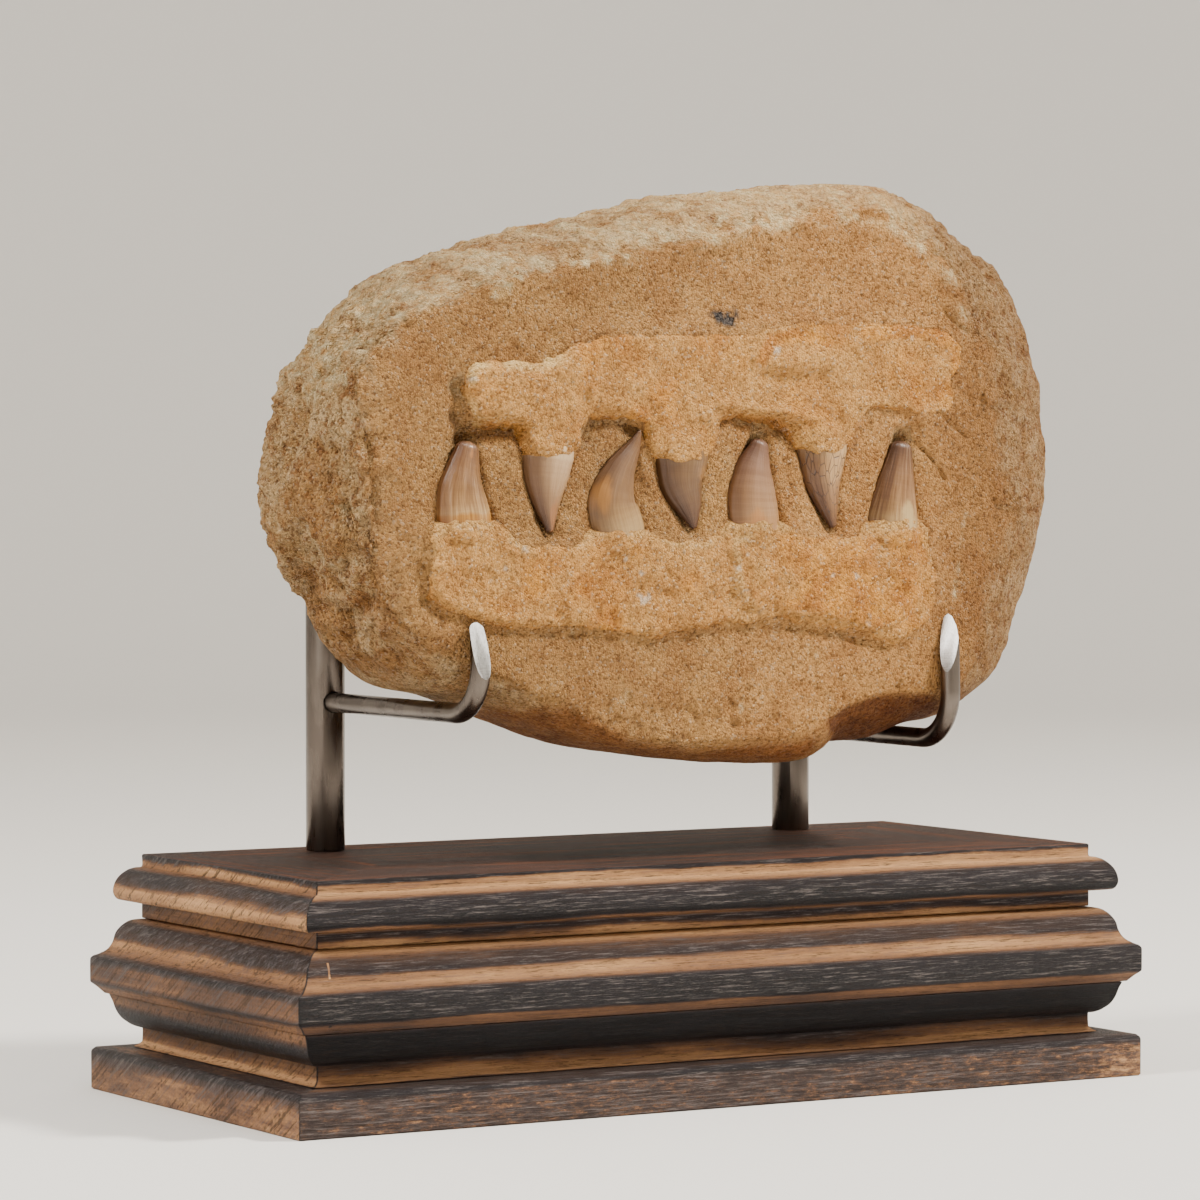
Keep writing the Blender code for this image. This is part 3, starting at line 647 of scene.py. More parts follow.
# The old skin has lilac clouds. Painted shade darkens its small hollows and a painted highlight
# lightens its crumbs, from the same noise that bumps it.
old_skin = clouded(tree, noise(tree, where, 110, 4), 0.35, 0.65, (206, 160, 102), (238, 198, 142))
lilac = span(tree, noise(tree, where, 330, 3), 0.56, 0.66)
old_skin = coat(tree, old_skin, lilac, 0.22, (190, 172, 160))
crumbs = noise(tree, where, 240, 4, 0.72)
old_skin = coat(tree, old_skin, span(tree, crumbs, 0.5, 0.36), 0.75, (182, 144, 106), "MULTIPLY")
old_skin = coat(tree, old_skin, span(tree, crumbs, 0.54, 0.68), 0.45, (246, 212, 164))
colour = blend(tree, crusted, colour, old_skin)
stained = clouded(tree, noise(tree, where, 160, 3), 0.4, 0.65, (176, 116, 56), (216, 156, 88))
colour = blend(tree, times(tree, rusted, 0.7), colour, stained)
chalky = clouded(tree, noise(tree, where, 260, 4, 0.7), 0.36, 0.6, (238, 192, 126), (255, 232, 182))
broken = noise(tree, stretched(tree, where, (0.6, 1, 1)), 420, 5, 0.75)
broken = span(tree, broken, 0.43, 0.54, 0.35, 1)
colour = blend(tree, times(tree, whitened, broken), colour, chalky)
holes = times(tree, span(tree, noise(tree, where, 300, 3, 0.6), 0.4, 0.31), crusted)
colour = coat(tree, colour, holes, 0.7, (160, 104, 58))
# Dark grains (partly their own tone, partly painted shade on the lower grains) and painted shade in
# the pits between grains show least where it is chalky.
shade = span(tree, whitened, 0, 1, 0.6, 0.2)
dark_grain_and_shade = blend(tree, shade, colour, paint(134, 108, 82), "MULTIPLY")
colour = blend(tree, span(tree, grains["Grain"], 0.0, 0.45), dark_grain_and_shade, colour)
colour = coat(tree, colour, grains["Pits"], times(tree, shade, 0.8), (98, 70, 44))
colour = coat(tree, colour, grains["Quartz"], 0.25, (240, 220, 190))
# The right side is greyer, and painted shade darkens the notch, the deep pits of the left end and the
# underside.
colour = coat(tree, colour, span(tree, across_slab, -0.03, 0.07), 0.7, (236, 230, 222), "MULTIPLY")
colour = coat(tree, colour, span(tree, across_slab, 0.075, 0.105), 1, (214, 209, 206), "MULTIPLY")
notch, underside, pitting = masks_of(tree, "painted_shade")[:3]
for mask, share, chart in ((notch, 0.85, (150, 110, 76)), (pitting, 0.55, (172, 146, 118)),
                           (underside, 0.7, (212, 170, 128))):
    colour = coat(tree, colour, mask, share, chart, "MULTIPLY")
black_grain = blend(tree, grains["Grain"], paint(24, 21, 21), paint(112, 102, 96))
colour = blend(tree, blackened, colour, black_grain)
tree.links.new(colour, surface.inputs["Base Color"])
tree.links.new(span(tree, grains["Grain"], 0, 1, 0.98, 0.78), surface.inputs["Roughness"])
# The picking left the grain coarser on the left half; the old crust is pitted on top of that.
height = times(tree, grains["Height"], span(tree, across_slab, 0.05, -0.05, 1.1, 2.8))
height = plus(tree, height, times(tree, crumbs, times(tree, crusted, 6.5)))
tree.links.new(bump(tree, height, 1.0 * MM), surface.inputs["Normal"])
stone.data.materials.append(slab_finish)
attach(stone, "root")
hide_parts("matrix")

# The jaw bones.
# Two lengths of jaw, upper and lower, soft yellow-brown fossil bone cleaned in relief. Each keeps
# to its bed in the sandstone, swells into a root at every crown, and has worn, paler edges, which
# along the top edges also carry a painted highlight.


# Pale flecks in the bone: x, z and size.
BONE_FLECKS = (
    (-81.8, 215.9, 1.2), (-57.3, 219.6, 0.9), (2, 212, 1.6), (26.4, 225, 2), (-20.3, 142.2, 1),
    (-58, 154, 0.7), (-23, 151.2, 2.4), (10.3, 159.7, 1.4), (13.5, 153, 2), (45.3, 157, 1.2),
    (53.9, 157, 1.5), (-24, 158, 1.6), (-30, 163, 1.5), (40, 162, 1.2),
)
BONE_SPACING = 0.55
BONE_BACK = 5


def extrude(*way):
    """Push what is selected out of the mesh."""
    bpy.ops.mesh.extrude_region_move(TRANSFORM_OT_translate={"value": way})


def jaw_bone(name, upper, low, high):
    """A sheet of bone over its outline, shaped to the relief and closed at the back."""
    (x0, z0), (x1, z1) = low, high
    columns, rows = int((x1 - x0) / BONE_SPACING), int((z1 - z0) / BONE_SPACING)
    bpy.ops.object.select_all(action="DESELECT")
    bpy.ops.mesh.primitive_grid_add(x_subdivisions=columns, y_subdivisions=rows, size=2)
    made = start(name)
    spots = places_of(made.data) * MM
    x = x0 + (spots[:, 0] + 1) / 2 * (x1 - x0)
    z = z0 + (spots[:, 1] + 1) / 2 * (z1 - z0)
    height, edge, shoulder = jaw_height(x, z, upper)
    y = face_y(x, z) - np.maximum(height, -5.5)
    move_corners(made.data, np.column_stack((x, y, z)))
    bpy.ops.object.mode_set(mode="EDIT")
    sheet = bmesh.from_edit_mesh(made.data)
    sheet.verts.ensure_lookup_table()
    for face in sheet.faces:
        face.select_set(bool(max(edge[corner.index] for corner in face.verts) < -2.2))
    bmesh.update_edit_mesh(made.data)
    bpy.ops.mesh.delete(type="FACE")
    bpy.ops.mesh.select_all(action="SELECT")
    bpy.ops.mesh.normals_make_consistent(inside=False)
    bpy.ops.mesh.select_all(action="DESELECT")
    bpy.ops.mesh.select_non_manifold()
    extrude(0, BONE_BACK * MM, 0)
    bpy.ops.mesh.edge_face_add()
    bpy.ops.mesh.select_all(action="SELECT")
    bpy.ops.mesh.normals_make_consistent(inside=False)
    bpy.ops.object.mode_set(mode="OBJECT")
    made.data.shade_smooth()
    spots = places_of(made.data)
    x, y, z = spots.T
    height, edge, shoulder = jaw_height(x, z, upper)
    # Worn, paler edges; on the top edges the cream is also a painted highlight.
    worn_lit_edge = ease(3.8 - edge, 0, 3.0) * ease(swell(spots, 5, 71), -0.7, 0.4)
    if upper:
        worn_lit_edge *= np.maximum(ease(z, 213, 219) * ease(-x, 46, 56), ease(-x, 74, 79))
    else:
        brink = 0.4 * ease(2.6 - np.abs(inside(x, z, JAW_STEP) - 1.5), 0, 2.4) * ease(18 - x, 0, 5)
        brink *= ease(swell(spots, 3, 72), -0.6, 0.2)
        worn_lit_edge = np.maximum(0.35 * worn_lit_edge * ease(z, 158, 166), brink)
    specks = 0.5 * ease(rough(spots, 3.4, 73), 1.0, 1.4)
    for cx, cz, size in BONE_FLECKS:
        spot = 0.6 * size - np.hypot(x - cx, z - cz) + 0.9 * size * rough(spots, 1.7, 75)
        specks = np.maximum(specks, 0.55 * ease(spot, 0, 1))
    stain = ease(rough(spots, 19, 77), -0.1, 0.8)
    stain = np.maximum(stain, ease(6 - np.hypot(x + 24, (z - 205) * 1.3), 0, 3))
    stain = np.maximum(stain, ease(0.6 - height, 0, 1.5))
    if upper:
        rim_line = near_line(x, z, [(60, 231), (84, 232), (94, 228), (95, 219)])
        stain = np.maximum(stain, ease(4 - rim_line, 0, 3))
        lump = near_line(x, z, [(20, 222), (24, 228), (34, 230), (46, 228)])
        stain = np.maximum(stain, ease(3 - lump, 0, 2))
    else:
        step = ease(inside(x, z, JAW_STEP), 0, 3)
        stain = np.maximum(stain, step * ease(rough(spots, 14, 79), -0.8, 0.4))
    # Worn edges with a painted highlight, pale flecks, iron stain, and painted shade where the bone lies
    # low.
    store(made.data, "weather", worn_lit_edge, specks, stain, ease(0.2 - height, 0, 2.5))
    made.data.materials.append(bone_finish)
    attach(made, "root")
    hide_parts("upper_jaw" if upper else "lower_jaw")


bone_finish, tree, surface = new_material("jaw_bone", Specular_IOR_Level=0.3)
worn_lit_edge_mask, speckled, iron_stained, low_painted_shade = masks_of(tree, "weather")
where = add(tree, "TexCoord", {}).outputs["Object"]
grains = add(tree, "Group", {"Coarseness": 1.2}, node_tree=sand).outputs
colour = clouded(tree, grains["Mottle"], 0.35, 0.65, (200, 143, 76), (222, 166, 94))
orange = clouded(tree, noise(tree, where, 120, 3), 0.35, 0.65, (194, 124, 52), (232, 162, 72))
colour = blend(tree, times(tree, iron_stained, 0.8), colour, orange)
# Cream on the worn edges, partly a painted highlight along the top edges.
colour = coat(tree, colour, worn_lit_edge_mask, 0.8, (244, 208, 138))
# Darker grains (partly their own tone, partly painted shade on the lower grains) and painted shade in the
# pits between grains.
dark_grain_and_shade = blend(tree, 0.55, colour, paint(140, 108, 74), "MULTIPLY")
colour = blend(tree, span(tree, grains["Grain"], 0.0, 0.45), dark_grain_and_shade, colour)
colour = coat(tree, colour, grains["Pits"], 0.4, (116, 82, 48))
colour = coat(tree, colour, grains["Quartz"], 0.25, (242, 222, 190))
colour = blend(tree, speckled, colour, paint(230, 214, 192))
# Painted shade where the bone lies low in the relief.
colour = coat(tree, colour, low_painted_shade, 0.45, (124, 82, 40))
tree.links.new(colour, surface.inputs["Base Color"])
tree.links.new(span(tree, grains["Grain"], 0, 1, 0.95, 0.7), surface.inputs["Roughness"])
tree.links.new(bump(tree, grains["Height"], 1.05 * MM), surface.inputs["Normal"])

jaw_bone("upper_jaw_bone", True, (-87, 190), (100, 238))
jaw_bone("lower_jaw_bone", False, (-102, 132), (87, 180))

# The teeth.
# Seven crowns of real enamel, cut off flat at the gum and set in their swollen roots. They are
# ribbed lengthwise, banded by growth, pale at the base and dark at the worn point.


def crown_piece(name, line, wave):
    """A ball drawn out along the crown's centre line, blunt at its point and oval across."""
    bpy.ops.object.select_all(action="DESELECT")
    bpy.ops.mesh.primitive_uv_sphere_add(segments=72, ring_count=64, radius=1)
    made = start("crown_" + name)
    ball = places_of(made.data) * MM
    polar = np.arccos(np.clip(ball[:, 2], -1, 1))
    turn = np.arctan2(ball[:, 1], ball[:, 0])
    along = 1 - polar / math.pi
    path = smooth_path(line, 12)
    tip = path[-1]
    way = path[-1, :2] - path[-2, :2]
    way /= np.hypot(*way)
    cap = (0.95 if tip[2] < 3 else 0.78) * tip[2]
    gum, tip_start = 0.12, 0.86
    body = np.clip((along - gum) / (tip_start - gum), 0, 1)
    stretch = np.linspace(0, 1, len(path))
    cx, cz, half = (np.interp(body, stretch, path[:, part]) for part in range(3))
    cx -= way[0] * cap * body
    cz -= way[1] * cap * body
    point = np.clip((along - tip_start) / (1 - tip_start), 0, 1) * math.pi / 2
    cx += way[0] * cap * np.sin(point)
    cz += way[1] * cap * np.sin(point)
    half = half * np.cos(point)
    base_way = path[1, :2] - path[0, :2]
    base_way /= np.hypot(*base_way)
    sunk = np.clip((gum - along) / gum, 0, 1)
    cx -= base_way[0] * 6 * sunk
    cz -= base_way[1] * 6 * sunk
    half *= np.sqrt(np.clip(1 - sunk ** 4, 0, 1))
    bend = np.gradient(path[:, :2], axis=0)
    bend /= np.hypot(bend[:, 0], bend[:, 1])[:, None]
    side_x = np.interp(body, stretch, bend[:, 1])
    side_z = -np.interp(body, stretch, bend[:, 0])
    across = np.cos(turn)
    out = -np.sin(turn)
    facets = 1 + 0.013 * np.cos(14 * turn + wave) + 0.012 * np.sin(5 * turn + wave + 3 * along)
    spread = half * across * (1 + 0.03 * np.abs(across) ** 8)
    x = cx + side_x * spread * facets
    z = cz + side_z * spread * facets
    # A lower crown's side vector points right, an upper one's left; both faces look forward.
    y = face_y(cx, cz) + axis_depth(np.interp(body, stretch, path[:, 2]))
    y -= CROWN_FLATTENING * half * out * facets
    spots = np.column_stack((x, y, z))
    spots[:, 1] += 0.07 * rough(spots, 3, 81)
    move_corners(made.data, spots)
    layer = made.data.attributes.new("crown", "FLOAT_VECTOR", "POINT")
    rightward = across * np.sign(side_x)
    angle = np.arctan2(rightward, out) / math.pi
    ways = np.column_stack((angle, body, rightward)).astype(np.float32)
    layer.data.foreach_set("vector", ways.ravel())
    bpy.ops.object.mode_set(mode="EDIT")
    bpy.ops.mesh.select_all(action="SELECT")
    bpy.ops.mesh.normals_make_consistent(inside=False)
    bpy.ops.object.mode_set(mode="OBJECT")
    made.data.shade_smooth()
    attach(made, "root")
    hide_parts(name.replace("_", "_tooth_"))
    return made


# Ribs and growth bands from the crown's own directions, in place of a painted pattern: how many of
# each there are round the crown, and how many along it.
ENAMEL_MARKS = {"Ribs": (34.0, 1.6), "Bands": (0.8, 15.0), "Clouds": (4.0, 3.0), "Cracks": (12.0, 5.0)}
ribbed, ribbed_in, ribbed_out = new_group(
    "ribbed_enamel", {"Direction": "Vector", "Shift": "Float"}, ENAMEL_MARKS)
parts = add(ribbed, "SeparateXYZ", {0: ribbed_in.outputs["Direction"]}).outputs
for title, (round_it, along_it) in ENAMEL_MARKS.items():
    place = {0: times(ribbed, parts[0], round_it), 1: times(ribbed, parts[1], along_it),
             2: ribbed_in.outputs["Shift"]}
    place = add(ribbed, "CombineXYZ", place).outputs[0]
    if title == "Cracks":
        seams = add(ribbed, "TexVoronoi", {"Vector": place, "Scale": 1.0}, feature="DISTANCE_TO_EDGE")
        marks = span(ribbed, seams.outputs[0], 0.05, 0.0)
    else:
        marks = noise(ribbed, place, 1.0, 3, 0.6)
    ribbed.links.new(marks, ribbed_out.inputs[title])


def enamel(name, shift, stops, painted_flank_shade, patch, ribs=0.3, bands=0.2, cracks=0.0):
    """Glossy fossil enamel: colours from base to point, painted shade on the left flank, a stained patch.
    """
    made, tree, surface = new_material(name, Specular_IOR_Level=0.42, Coat_Roughness=0.2, Coat_Weight=0.16)
    direction = add(tree, "Attribute", {}, attribute_name="crown").outputs["Vector"]
    parts = add(tree, "SeparateXYZ", {0: direction}).outputs
    marks = add(tree, "Group", {"Direction": direction, "Shift": shift}, node_tree=ribbed).outputs
    wavy = plus(tree, parts[1], swing(tree, marks["Clouds"], 0.16))
    colour = ramp(tree, wavy, [(place, paint(*chart)) for place, chart in stops])
    banded = span(tree, marks["Bands"], 0.62, 0.38)
    colour = coat(tree, colour, banded, bands, (176, 146, 126), "MULTIPLY")
    grooved = span(tree, marks["Ribs"], 0.6, 0.36)
    colour = coat(tree, colour, grooved, ribs, (160, 130, 110), "MULTIPLY")
    colour = coat(tree, colour, span(tree, marks["Ribs"], 0.6, 0.72), ribs * 0.5, (222, 198, 170))
    # Painted shade on the left flank, which the light from the right leaves in shadow.
    shade, reach, depth = painted_flank_shade
    colour = coat(tree, colour, span(tree, parts[2], reach + 0.2, reach - 0.6), depth, shade, "MULTIPLY")
    tint, across, up, size = patch
    gap = add(tree, "VectorMath", {0: direction, 1: (0, up, across)}, operation="SUBTRACT").outputs[0]
    gap = add(tree, "VectorMath", {0: gap, 1: (0, 2.2, 1)}, operation="MULTIPLY").outputs[0]
    gap = add(tree, "VectorMath", {0: gap}, operation="LENGTH").outputs["Value"]
    gap = plus(tree, gap, swing(tree, marks["Clouds"], 0.7))
    colour = coat(tree, colour, span(tree, gap, size, size * 0.4), 0.75, tint)
    colour = coat(tree, colour, marks["Cracks"], cracks, (70, 50, 40))
    tree.links.new(colour, surface.inputs["Base Color"])
    tree.links.new(span(tree, marks["Clouds"], 0.3, 0.7, 0.3, 0.5), surface.inputs["Roughness"])
    height = plus(tree, marks["Ribs"], times(tree, marks["Bands"], 0.6))
    height = minus(tree, height, times(tree, marks["Cracks"], cracks))
    tree.links.new(bump(tree, height, 0.3 * MM, 0.7), surface.inputs["Normal"])
    return made


CROWN_FINISH = {
    "lower_1": dict(shift=1.3, ribs=0.5, bands=0.1, painted_flank_shade=((162, 127, 92), -0.35, 0.6),
                    patch=((176, 117, 65), 0.1, 0.97, 0.25),
                    stops=[(0.0, (184, 131, 61)), (0.05, (190, 156, 106)), (0.14, (168, 130, 86)),
                           (0.35, (150, 112, 70)), (0.7, (140, 101, 63)), (1.0, (132, 94, 62))]),
    "upper_1": dict(shift=2.9, ribs=0.14, bands=0.08, painted_flank_shade=((128, 98, 72), -0.12, 0.8),
                    patch=((160, 104, 58), 0.35, 0.85, 0.55),
                    stops=[(0.0, (208, 178, 138)), (0.06, (190, 156, 118)), (0.3, (178, 143, 104)),
                           (0.6, (158, 121, 82)), (1.0, (112, 76, 46))]),
    "lower_2": dict(shift=4.1, ribs=0.2, bands=0.12, painted_flank_shade=((140, 110, 80), -0.2, 0.55),
                    patch=((169, 116, 56), -0.55, 0.30, 0.38),
                    stops=[(0.0, (180, 148, 100)), (0.12, (162, 128, 84)), (0.28, (136, 102, 66)),
                           (0.55, (127, 93, 61)), (1.0, (122, 86, 54))]),
    "upper_2": dict(shift=5.7, ribs=0.2, bands=0.15, painted_flank_shade=((139, 104, 67), -0.3, 0.7),
                    patch=((147, 105, 59), 0.7, 0.2, 0.4),
                    stops=[(0.0, (128, 96, 60)), (0.15, (120, 88, 54)), (0.5, (110, 78, 46)),
                           (0.8, (98, 66, 39)), (1.0, (88, 56, 32))]),
    "lower_3": dict(shift=7.2, ribs=0.05, bands=0.22, painted_flank_shade=((150, 122, 98), -0.25, 0.6),
                    patch=((175, 119, 67), -0.2, 0.02, 0.4),
                    stops=[(0.0, (176, 132, 86)), (0.12, (168, 130, 92)), (0.4, (158, 121, 88)),
                           (0.75, (139, 104, 80)), (1.0, (122, 88, 68))]),
    "upper_3": dict(shift=8.8, ribs=0.15, bands=0.1, cracks=0.9, painted_flank_shade=((126, 96, 70), -0.05, 0.8),
                    patch=((189, 150, 102), 0.4, 0.2, 0.7),
                    stops=[(0.0, (205, 168, 118)), (0.12, (184, 143, 95)), (0.4, (169, 128, 85)),
                           (0.75, (148, 106, 66)), (1.0, (128, 85, 50))]),
    "lower_4": dict(shift=10.4, ribs=0.6, bands=0.1, painted_flank_shade=((134, 108, 82), -0.2, 0.7),
                    patch=((196, 167, 115), 0.3, 0.08, 0.45),
                    stops=[(0.0, (184, 151, 100)), (0.12, (167, 130, 85)), (0.35, (157, 118, 78)),
                           (0.7, (140, 102, 67)), (1.0, (112, 77, 50))]),
}
for wave, (name, line) in enumerate(CROWNS.items()):
    crown = crown_piece(name, line, 1.7 * wave)
    crown.data.materials.append(enamel("enamel_" + name, **CROWN_FINISH[name]))

# The steel.
# Two posts of 12 mm round bar stand in the plinth. A 6 mm bar is let into the front of each, runs
# under the stone and is bent up in front of it; its face is ground to a long flat at the tip.
POSTS = {"left": (-82, 118, -57, 10), "right": (88, 105.7, -50.6, -56)}
# Both tips are rounded off towards their right: places from the bar's middle, along one level way,
# and from its end.
TIP = [(-1.6, 0), (0.9, -1.6), (2.2, -4.6), (2.9, -8.8)]
TIP_WAY = (0.859, -0.512)
POST_Y = 40
POST_ENDS = (72.5, 205)
POST_RADIUS = 6
HOOK_RADIUS = 3
BEND_RADIUS = 15
# The prong leans back by the first and is round up to the second; its ground flat starts lower.
PRONG_LEAN = 0.62
PRONG_TOP = 143
TIP_RISE = 2.5
FLAT_START = 126.5
# Two tints and a gloss for each steel. The brushed steel is tinted dark as a painted dark reflection, and
# the ground flat near white as a painted reflection of the light.
STEEL = {"brushed_steel": ((94, 85, 78), (116, 107, 99), 0.23),
         "ground_flat": ((232, 232, 231), (252, 252, 251), 0.27)}
steel = {}
for name, (dull, clear, gloss) in STEEL.items():
    steel[name], tree, surface = new_material(name, Metallic=1.0, Specular_IOR_Level=0.5)
    where = add(tree, "TexCoord", {}).outputs["Object"]
    lines = noise(tree, stretched(tree, where, (1, 1, 0.05)), 3200, 3, 0.7)
    cross = noise(tree, stretched(tree, where, (0.12, 0.12, 1)), 2600, 2, 0.6)
    clouds = noise(tree, stretched(tree, where, (1, 1, 0.3)), 150, 2, 0.5)
    colour = clouded(tree, clouds, 0.35, 0.7, dull, clear)
    # The ground flat is darker towards its lower end.
    if name == "ground_flat":
        height = add(tree, "SeparateXYZ", {0: where}).outputs[2]
        height = plus(tree, height, times(tree, cross, 0.006))
        colour = blend(tree, span(tree, height, 0.1265, 0.1405), paint(104, 98, 94), colour)
    colour = coat(tree, colour, span(tree, lines, 0.55, 0.35), 0.3, (92, 84, 78))
    tree.links.new(colour, surface.inputs["Base Color"])
    satin = span(tree, clouds, 0.3, 0.7, gloss - 0.04, gloss + 0.05)
    tree.links.new(plus(tree, satin, times(tree, lines, 0.1)), surface.inputs["Roughness"])
    tree.links.new(bump(tree, plus(tree, lines, cross), 0.03 * MM, 0.25), surface.inputs["Normal"])


def finish_steel(made, node):
    """Let the round surfaces flow, with the ends and the ground flat left crisp."""
    bpy.ops.object.shade_smooth_by_angle(angle=math.radians(32))
    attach(made, "root")
    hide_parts(node)


for side, (post_x, rod_z, hook_y, flat_turn) in POSTS.items():
    bpy.ops.object.select_all(action="DESELECT")
    bpy.ops.mesh.primitive_cylinder_add(
        vertices=96, radius=POST_RADIUS * MM, depth=(POST_ENDS[1] - POST_ENDS[0]) * MM,
        location=(post_x * MM, POST_Y * MM, sum(POST_ENDS) / 2 * MM))
    bpy.ops.object.transform_apply(location=True, rotation=True, scale=True)
    post = start("post_bar_" + side)
    post.data.materials.append(steel["brushed_steel"])
    bpy.ops.mesh.primitive_cylinder_add(
        vertices=48, radius=3.3 * MM, depth=12 * MM, rotation=(math.pi / 2, 0, 0),
        location=(post_x * MM, (POST_Y - 5.9) * MM, rod_z * MM))
    drill = bpy.context.object
    bpy.ops.object.select_all(action="DESELECT")
    bpy.context.view_layer.objects.active = post
    post.select_set(True)
    modify(post, "BOOLEAN", object=drill, solver="EXACT")
    bpy.data.objects.remove(drill)
    modify(post, "BEVEL", width=0.3 * MM, segments=2, limit_method="ANGLE", angle_limit=math.radians(35))
    finish_steel(post, "post_" + side)

    bpy.ops.object.select_all(action="DESELECT")
    bpy.ops.mesh.primitive_circle_add(vertices=56, radius=HOOK_RADIUS * MM, rotation=(math.pi / 2, 0, 0),
                                      location=(post_x * MM, (POST_Y - 0.5) * MM, rod_z * MM))
    bpy.ops.object.transform_apply(location=True, rotation=True, scale=True)
    hook = start("hook_bar_" + side)
    hook.data.materials.append(steel["brushed_steel"])
    hook.data.materials.append(steel["ground_flat"])
    bpy.ops.object.mode_set(mode="EDIT")
    bpy.ops.mesh.select_all(action="SELECT")
    straight = hook_y + BEND_RADIUS - POST_Y + 0.5
    extrude(0, straight * MM, 0)
    bend = (post_x * MM, (hook_y + BEND_RADIUS) * MM, (rod_z + BEND_RADIUS) * MM)
    bpy.ops.mesh.spin(steps=28, angle=math.pi / 2, center=bend, axis=(1, 0, 0))
    extrude(0, PRONG_LEAN * MM, (PRONG_TOP - rod_z - BEND_RADIUS) * MM)
    for step in range(8):
        rise = [TIP_RISE * math.sin(math.pi / 16 * turn) for turn in (step, step + 1)]
        width = [math.cos(math.pi / 16 * min(turn, 7.6)) for turn in (step, step + 1)]
        extrude(0, 0.01 * MM, (rise[1] - rise[0]) * MM)
        centre = (post_x * MM, (hook_y + PRONG_LEAN + 0.01 * step) * MM, (PRONG_TOP + rise[1]) * MM)
        bpy.ops.transform.resize(value=(width[1] / width[0],) * 2 + (1,), center_override=centre)
    bpy.ops.mesh.select_all(action="SELECT")
    bpy.ops.mesh.remove_doubles(threshold=0.01 * MM)
    bpy.ops.mesh.fill_holes(sides=0)
    bpy.ops.mesh.normals_make_consistent(inside=False)
    turned = (math.sin(math.radians(flat_turn)), -math.cos(math.radians(flat_turn)))
    low = np.array((post_x + HOOK_RADIUS * turned[0], hook_y + HOOK_RADIUS * turned[1], FLAT_START))
    slope = math.atan(5.5 / 18.5)
    facing = np.array((turned[0] * math.cos(slope), turned[1] * math.cos(slope), math.sin(slope)))
    bpy.ops.mesh.select_all(action="SELECT")
    bpy.ops.mesh.bisect(plane_co=low * MM, plane_no=facing, use_fill=True, clear_outer=True)
    for (x0, z0), (x1, z1) in zip(TIP, TIP[1:]):
        rise, run = x1 - x0, z0 - z1
        outward = Vector((run * TIP_WAY[0], run * TIP_WAY[1], rise)).normalized()
        tip = (post_x + x0 * TIP_WAY[0], hook_y + 0.7 + x0 * TIP_WAY[1], PRONG_TOP + TIP_RISE + z0)
        bpy.ops.mesh.select_all(action="SELECT")
        bpy.ops.mesh.bisect(plane_co=np.array(tip) * MM, plane_no=outward, use_fill=True, clear_outer=True)
    hook.active_material_index = 1
    ground_face = bmesh.from_edit_mesh(hook.data)
    for face in ground_face.faces:
        on_flat = face.normal.dot(Vector(facing)) > 0.999 and face.calc_center_median().z > 0.12
        face.select_set(bool(on_flat))
    bmesh.update_edit_mesh(hook.data)
    bpy.ops.object.material_slot_assign()
    bpy.ops.object.mode_set(mode="OBJECT")
    finish_steel(hook, "hook_" + side)

# The plinth.
# Five boards of pale hardwood with moulded edges, glued one on the other and mitred all round. They
# were scorched black with a torch and brushed, so the hollows stay honey-coloured.
FIELD = (272, 115)
BOARDS = {
    "foot_board": [(11.2, 0), (11.7, 0.5), (11.7, 11.4), (11.5, 12.1), (11.0, 12.6), (10.4, 13),
                   (9.6, 13.1)],
    "lower_moulding": [(2.2, 13.4), (0.9, 14.2), (0.25, 14.8), (0.0, 15.6), (0.0, 19.3), (0.9, 19.4),
                       (2.6, 20.2), (4.7, 22.0), (6.0, 24.4), (6.8, 27.2), (7.6, 29.2)],
    "middle_moulding": [(8.6, 29.5), (10.3, 31.4), (11.6, 32.6), (11.9, 33.6), (11.9, 39.2), (11.7, 40.2),
                        (11.2, 40.8), (10.3, 41.2), (9.4, 41.7), (7.8, 43.1), (6.7, 45.3), (6.2, 47.6),
                        (5.4, 49.3), (4.1, 50.9), (2.4, 52.0), (0.6, 52.4)],
    "neck_board": [(0.0, 52.7), (0.0, 57.5)],
    "top_moulding": [(3.4, 57.8), (5.6, 58.3), (6.5, 59.9), (6.6, 61.4), (6.1, 63.6), (5.1, 65.5),
                     (3.4, 67.2), (1.4, 68.1), (0.0, 68.5), (0.0, 71.5), (-0.15, 72), (-0.5, 72.2)],
}
CURVED = {"lower_moulding": 3, "middle_moulding": 3, "top_moulding": 3}

wood_finish, tree, surface = new_material("scorched_wood", Specular_IOR_Level=0.2)
where = add(tree, "TexCoord", {}).outputs["Object"]
parts = add(tree, "SeparateXYZ", {0: where}).outputs
over_x = minus(tree, maths(tree, "ABSOLUTE", parts[0]), FIELD[0] / 2 * MM)
over_y = minus(tree, maths(tree, "ABSOLUTE", parts[1]), FIELD[1] / 2 * MM)
on_end = span(tree, minus(tree, over_x, over_y), -0.1 * MM, 0.1 * MM)
# The grain runs along each moulding, so it turns at the mitres; the sanding scratches slant.
swapped = add(tree, "CombineXYZ", {0: parts[1], 1: parts[0], 2: parts[2]}).outputs[0]
board_way = add(tree, "Mix", {0: on_end, 4: where, 5: swapped}, data_type="VECTOR").outputs[1]
pores = noise(tree, stretched(tree, board_way, (0.05, 1, 1)), 1700, 4, 0.85)
fibre = noise(tree, stretched(tree, board_way, (0.03, 1, 1)), 420, 5, 0.7)
patches = noise(tree, stretched(tree, board_way, (0.35, 1, 1)), 48, 5, 0.65)
slanted = add(tree, "VectorRotate", {"Vector": where, "Angle": math.radians(33)}, rotation_type="X_AXIS")
scratches = noise(tree, stretched(tree, slanted.outputs[0], (1, 0.04, 1)), 800, 4, 0.8)
saw_marks = noise(tree, stretched(tree, where, (1, 1, 0.3)), 950, 3, 0.8)
hatch = plus(tree, times(tree, scratches, 1.2), times(tree, saw_marks, 0.4))
hatch = minus(tree, hatch, 0.3)
